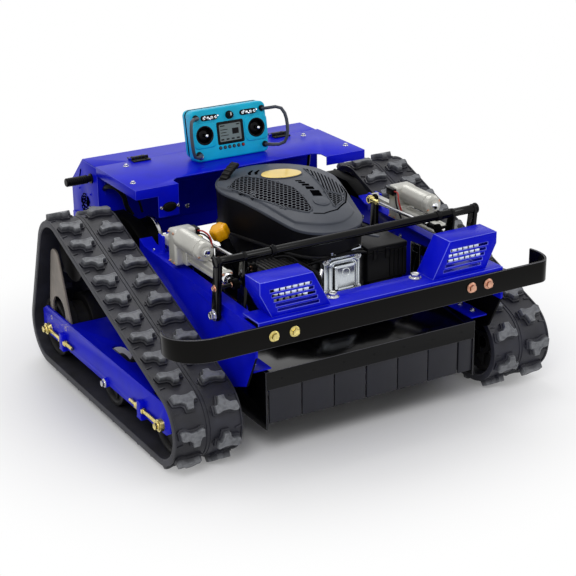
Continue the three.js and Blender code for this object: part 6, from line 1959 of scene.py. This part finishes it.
x0, x1, y0, y1, z0, z1 = span("muffler")
shapes = [block_at("shell", x0 + 3, x1 - 3, y0 + 3, y1 - 3, z0 + 2, z1 - 4, 14, None, 6)]
shapes += [block_at("fin", x - 1.2, x + 1.2, y0, y1, z0, z1, 6, None, 4)
           for x in (x0 + 8 + i * (x1 - x0 - 16) / 10 for i in range(11))]
build("muffler_shell", shapes, muffler_steel, "deck", "muffler_steel", ["muffler"])
tell("air box and silencer")

# %% [markdown]
# The oil cap is bright yellow. It is a cup with a waved grip: its profile is turned, and every
# point is pushed in or out in six soft waves. It rides on its own body, as it can be unscrewed.

# %% Oil filler and cap
traced_part("oil_filler_tube", 0.6, dark_plastic, "deck", "dark_plastic")
CAP_AXIS = Vector((-0.43611, 0, 0.89991))
middle = sum(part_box("oil_cap"), Vector()) / 2
cap = turned("cap_body", middle - CAP_AXIS * 17 * MM, CAP_AXIS, [
    (0, 0.5), (21, 0.5), (22.4, 2), (23.4, 12), (23.6, 25), (22.4, 30), (19, 33), (12, 33.9),
    (0, 33.9)], 96)
side = CAP_AXIS.orthogonal().normalized()
across = CAP_AXIS.cross(side)
for vertex in cap.data.vertices:
    out = vertex.co - middle
    out -= CAP_AXIS * out.dot(CAP_AXIS)
    reach = out.length / MM
    if reach > 1:
        turn = math.atan2(out.dot(across), out.dot(side))
        wave = 1 + 0.075 * math.cos(6 * turn) * min(1, reach / 20)
        vertex.co += out * (wave - 1.0)
done(cap, yellow_plastic, "oil_cap", "yellow_plastic", ["oil_cap"], angle=40)
tell("oil filler")

# %% [markdown]
# The starter grip is a bowed handle of rubber with ridges for the fingers: thin and thick blocks
# follow each other along an arc. Its rope is drawn taut, so that it shows when the grip is
# pulled. The crankshaft and the blade sit below the deck.

# %% Starter grip, crankshaft and blade
grip_start, grip_end = at(-128, 96, 520), at(-72, 122, 561)
along = (grip_end - grip_start).normalized()
bow = Vector((-0.6, -0.3, 0.75)).normalized()
across = along.cross(bow).normalized()
ridges = []
for index in range(13):
    share = index / 12
    spot = grip_start.lerp(grip_end, share) + bow * 7 * MM * math.sin(math.pi * share)
    thick = 5.6 if index % 2 else 4.4
    ridge = box("ridge", Vector((-0.0034, -0.0115, -thick * MM)),
                Vector((0.0034, 0.0115, thick * MM)))
    ridge.data.transform(Matrix.Translation(spot) @ Matrix((along, across, along.cross(across)))
                         .transposed().to_4x4())
    ridges.append(bevelled(ridge, 1.0, 2))
foot = bar("foot", at(-104, 104, 524), at(-100, 108, 548), 5, 20)
rope = bar("rope", at(-101, 107, 232), at(-101, 107, 541), 1.9, 12)
build("starter_grip_handle", ridges + [foot, rope], dark_plastic, "starter_grip",
     "dark_plastic", ["starter_grip"])
traced_part("crankshaft", 0.8, bright_steel, "cutter", "bright_steel", 3)
traced_part("blade", 0.6, blade_steel, "cutter", "bright_steel")
bolts("blade_bolt", [(at(0, 20, 106), -UP, 9)], bright_steel, "cutter", "bright_steel")
tell("grip, crankshaft and blade")

# %% [markdown]
# The end
#
# The bolt that all others were copied from goes, and we look whether every imported node has a
# piece that stands for it.

# %% The end
bpy.data.objects.remove(bolt_master)
taken = {n for o in bpy.data.objects if "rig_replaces" in o for n in o["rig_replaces"]}
print("nodes without a piece:", sorted(set(nodes) - taken))
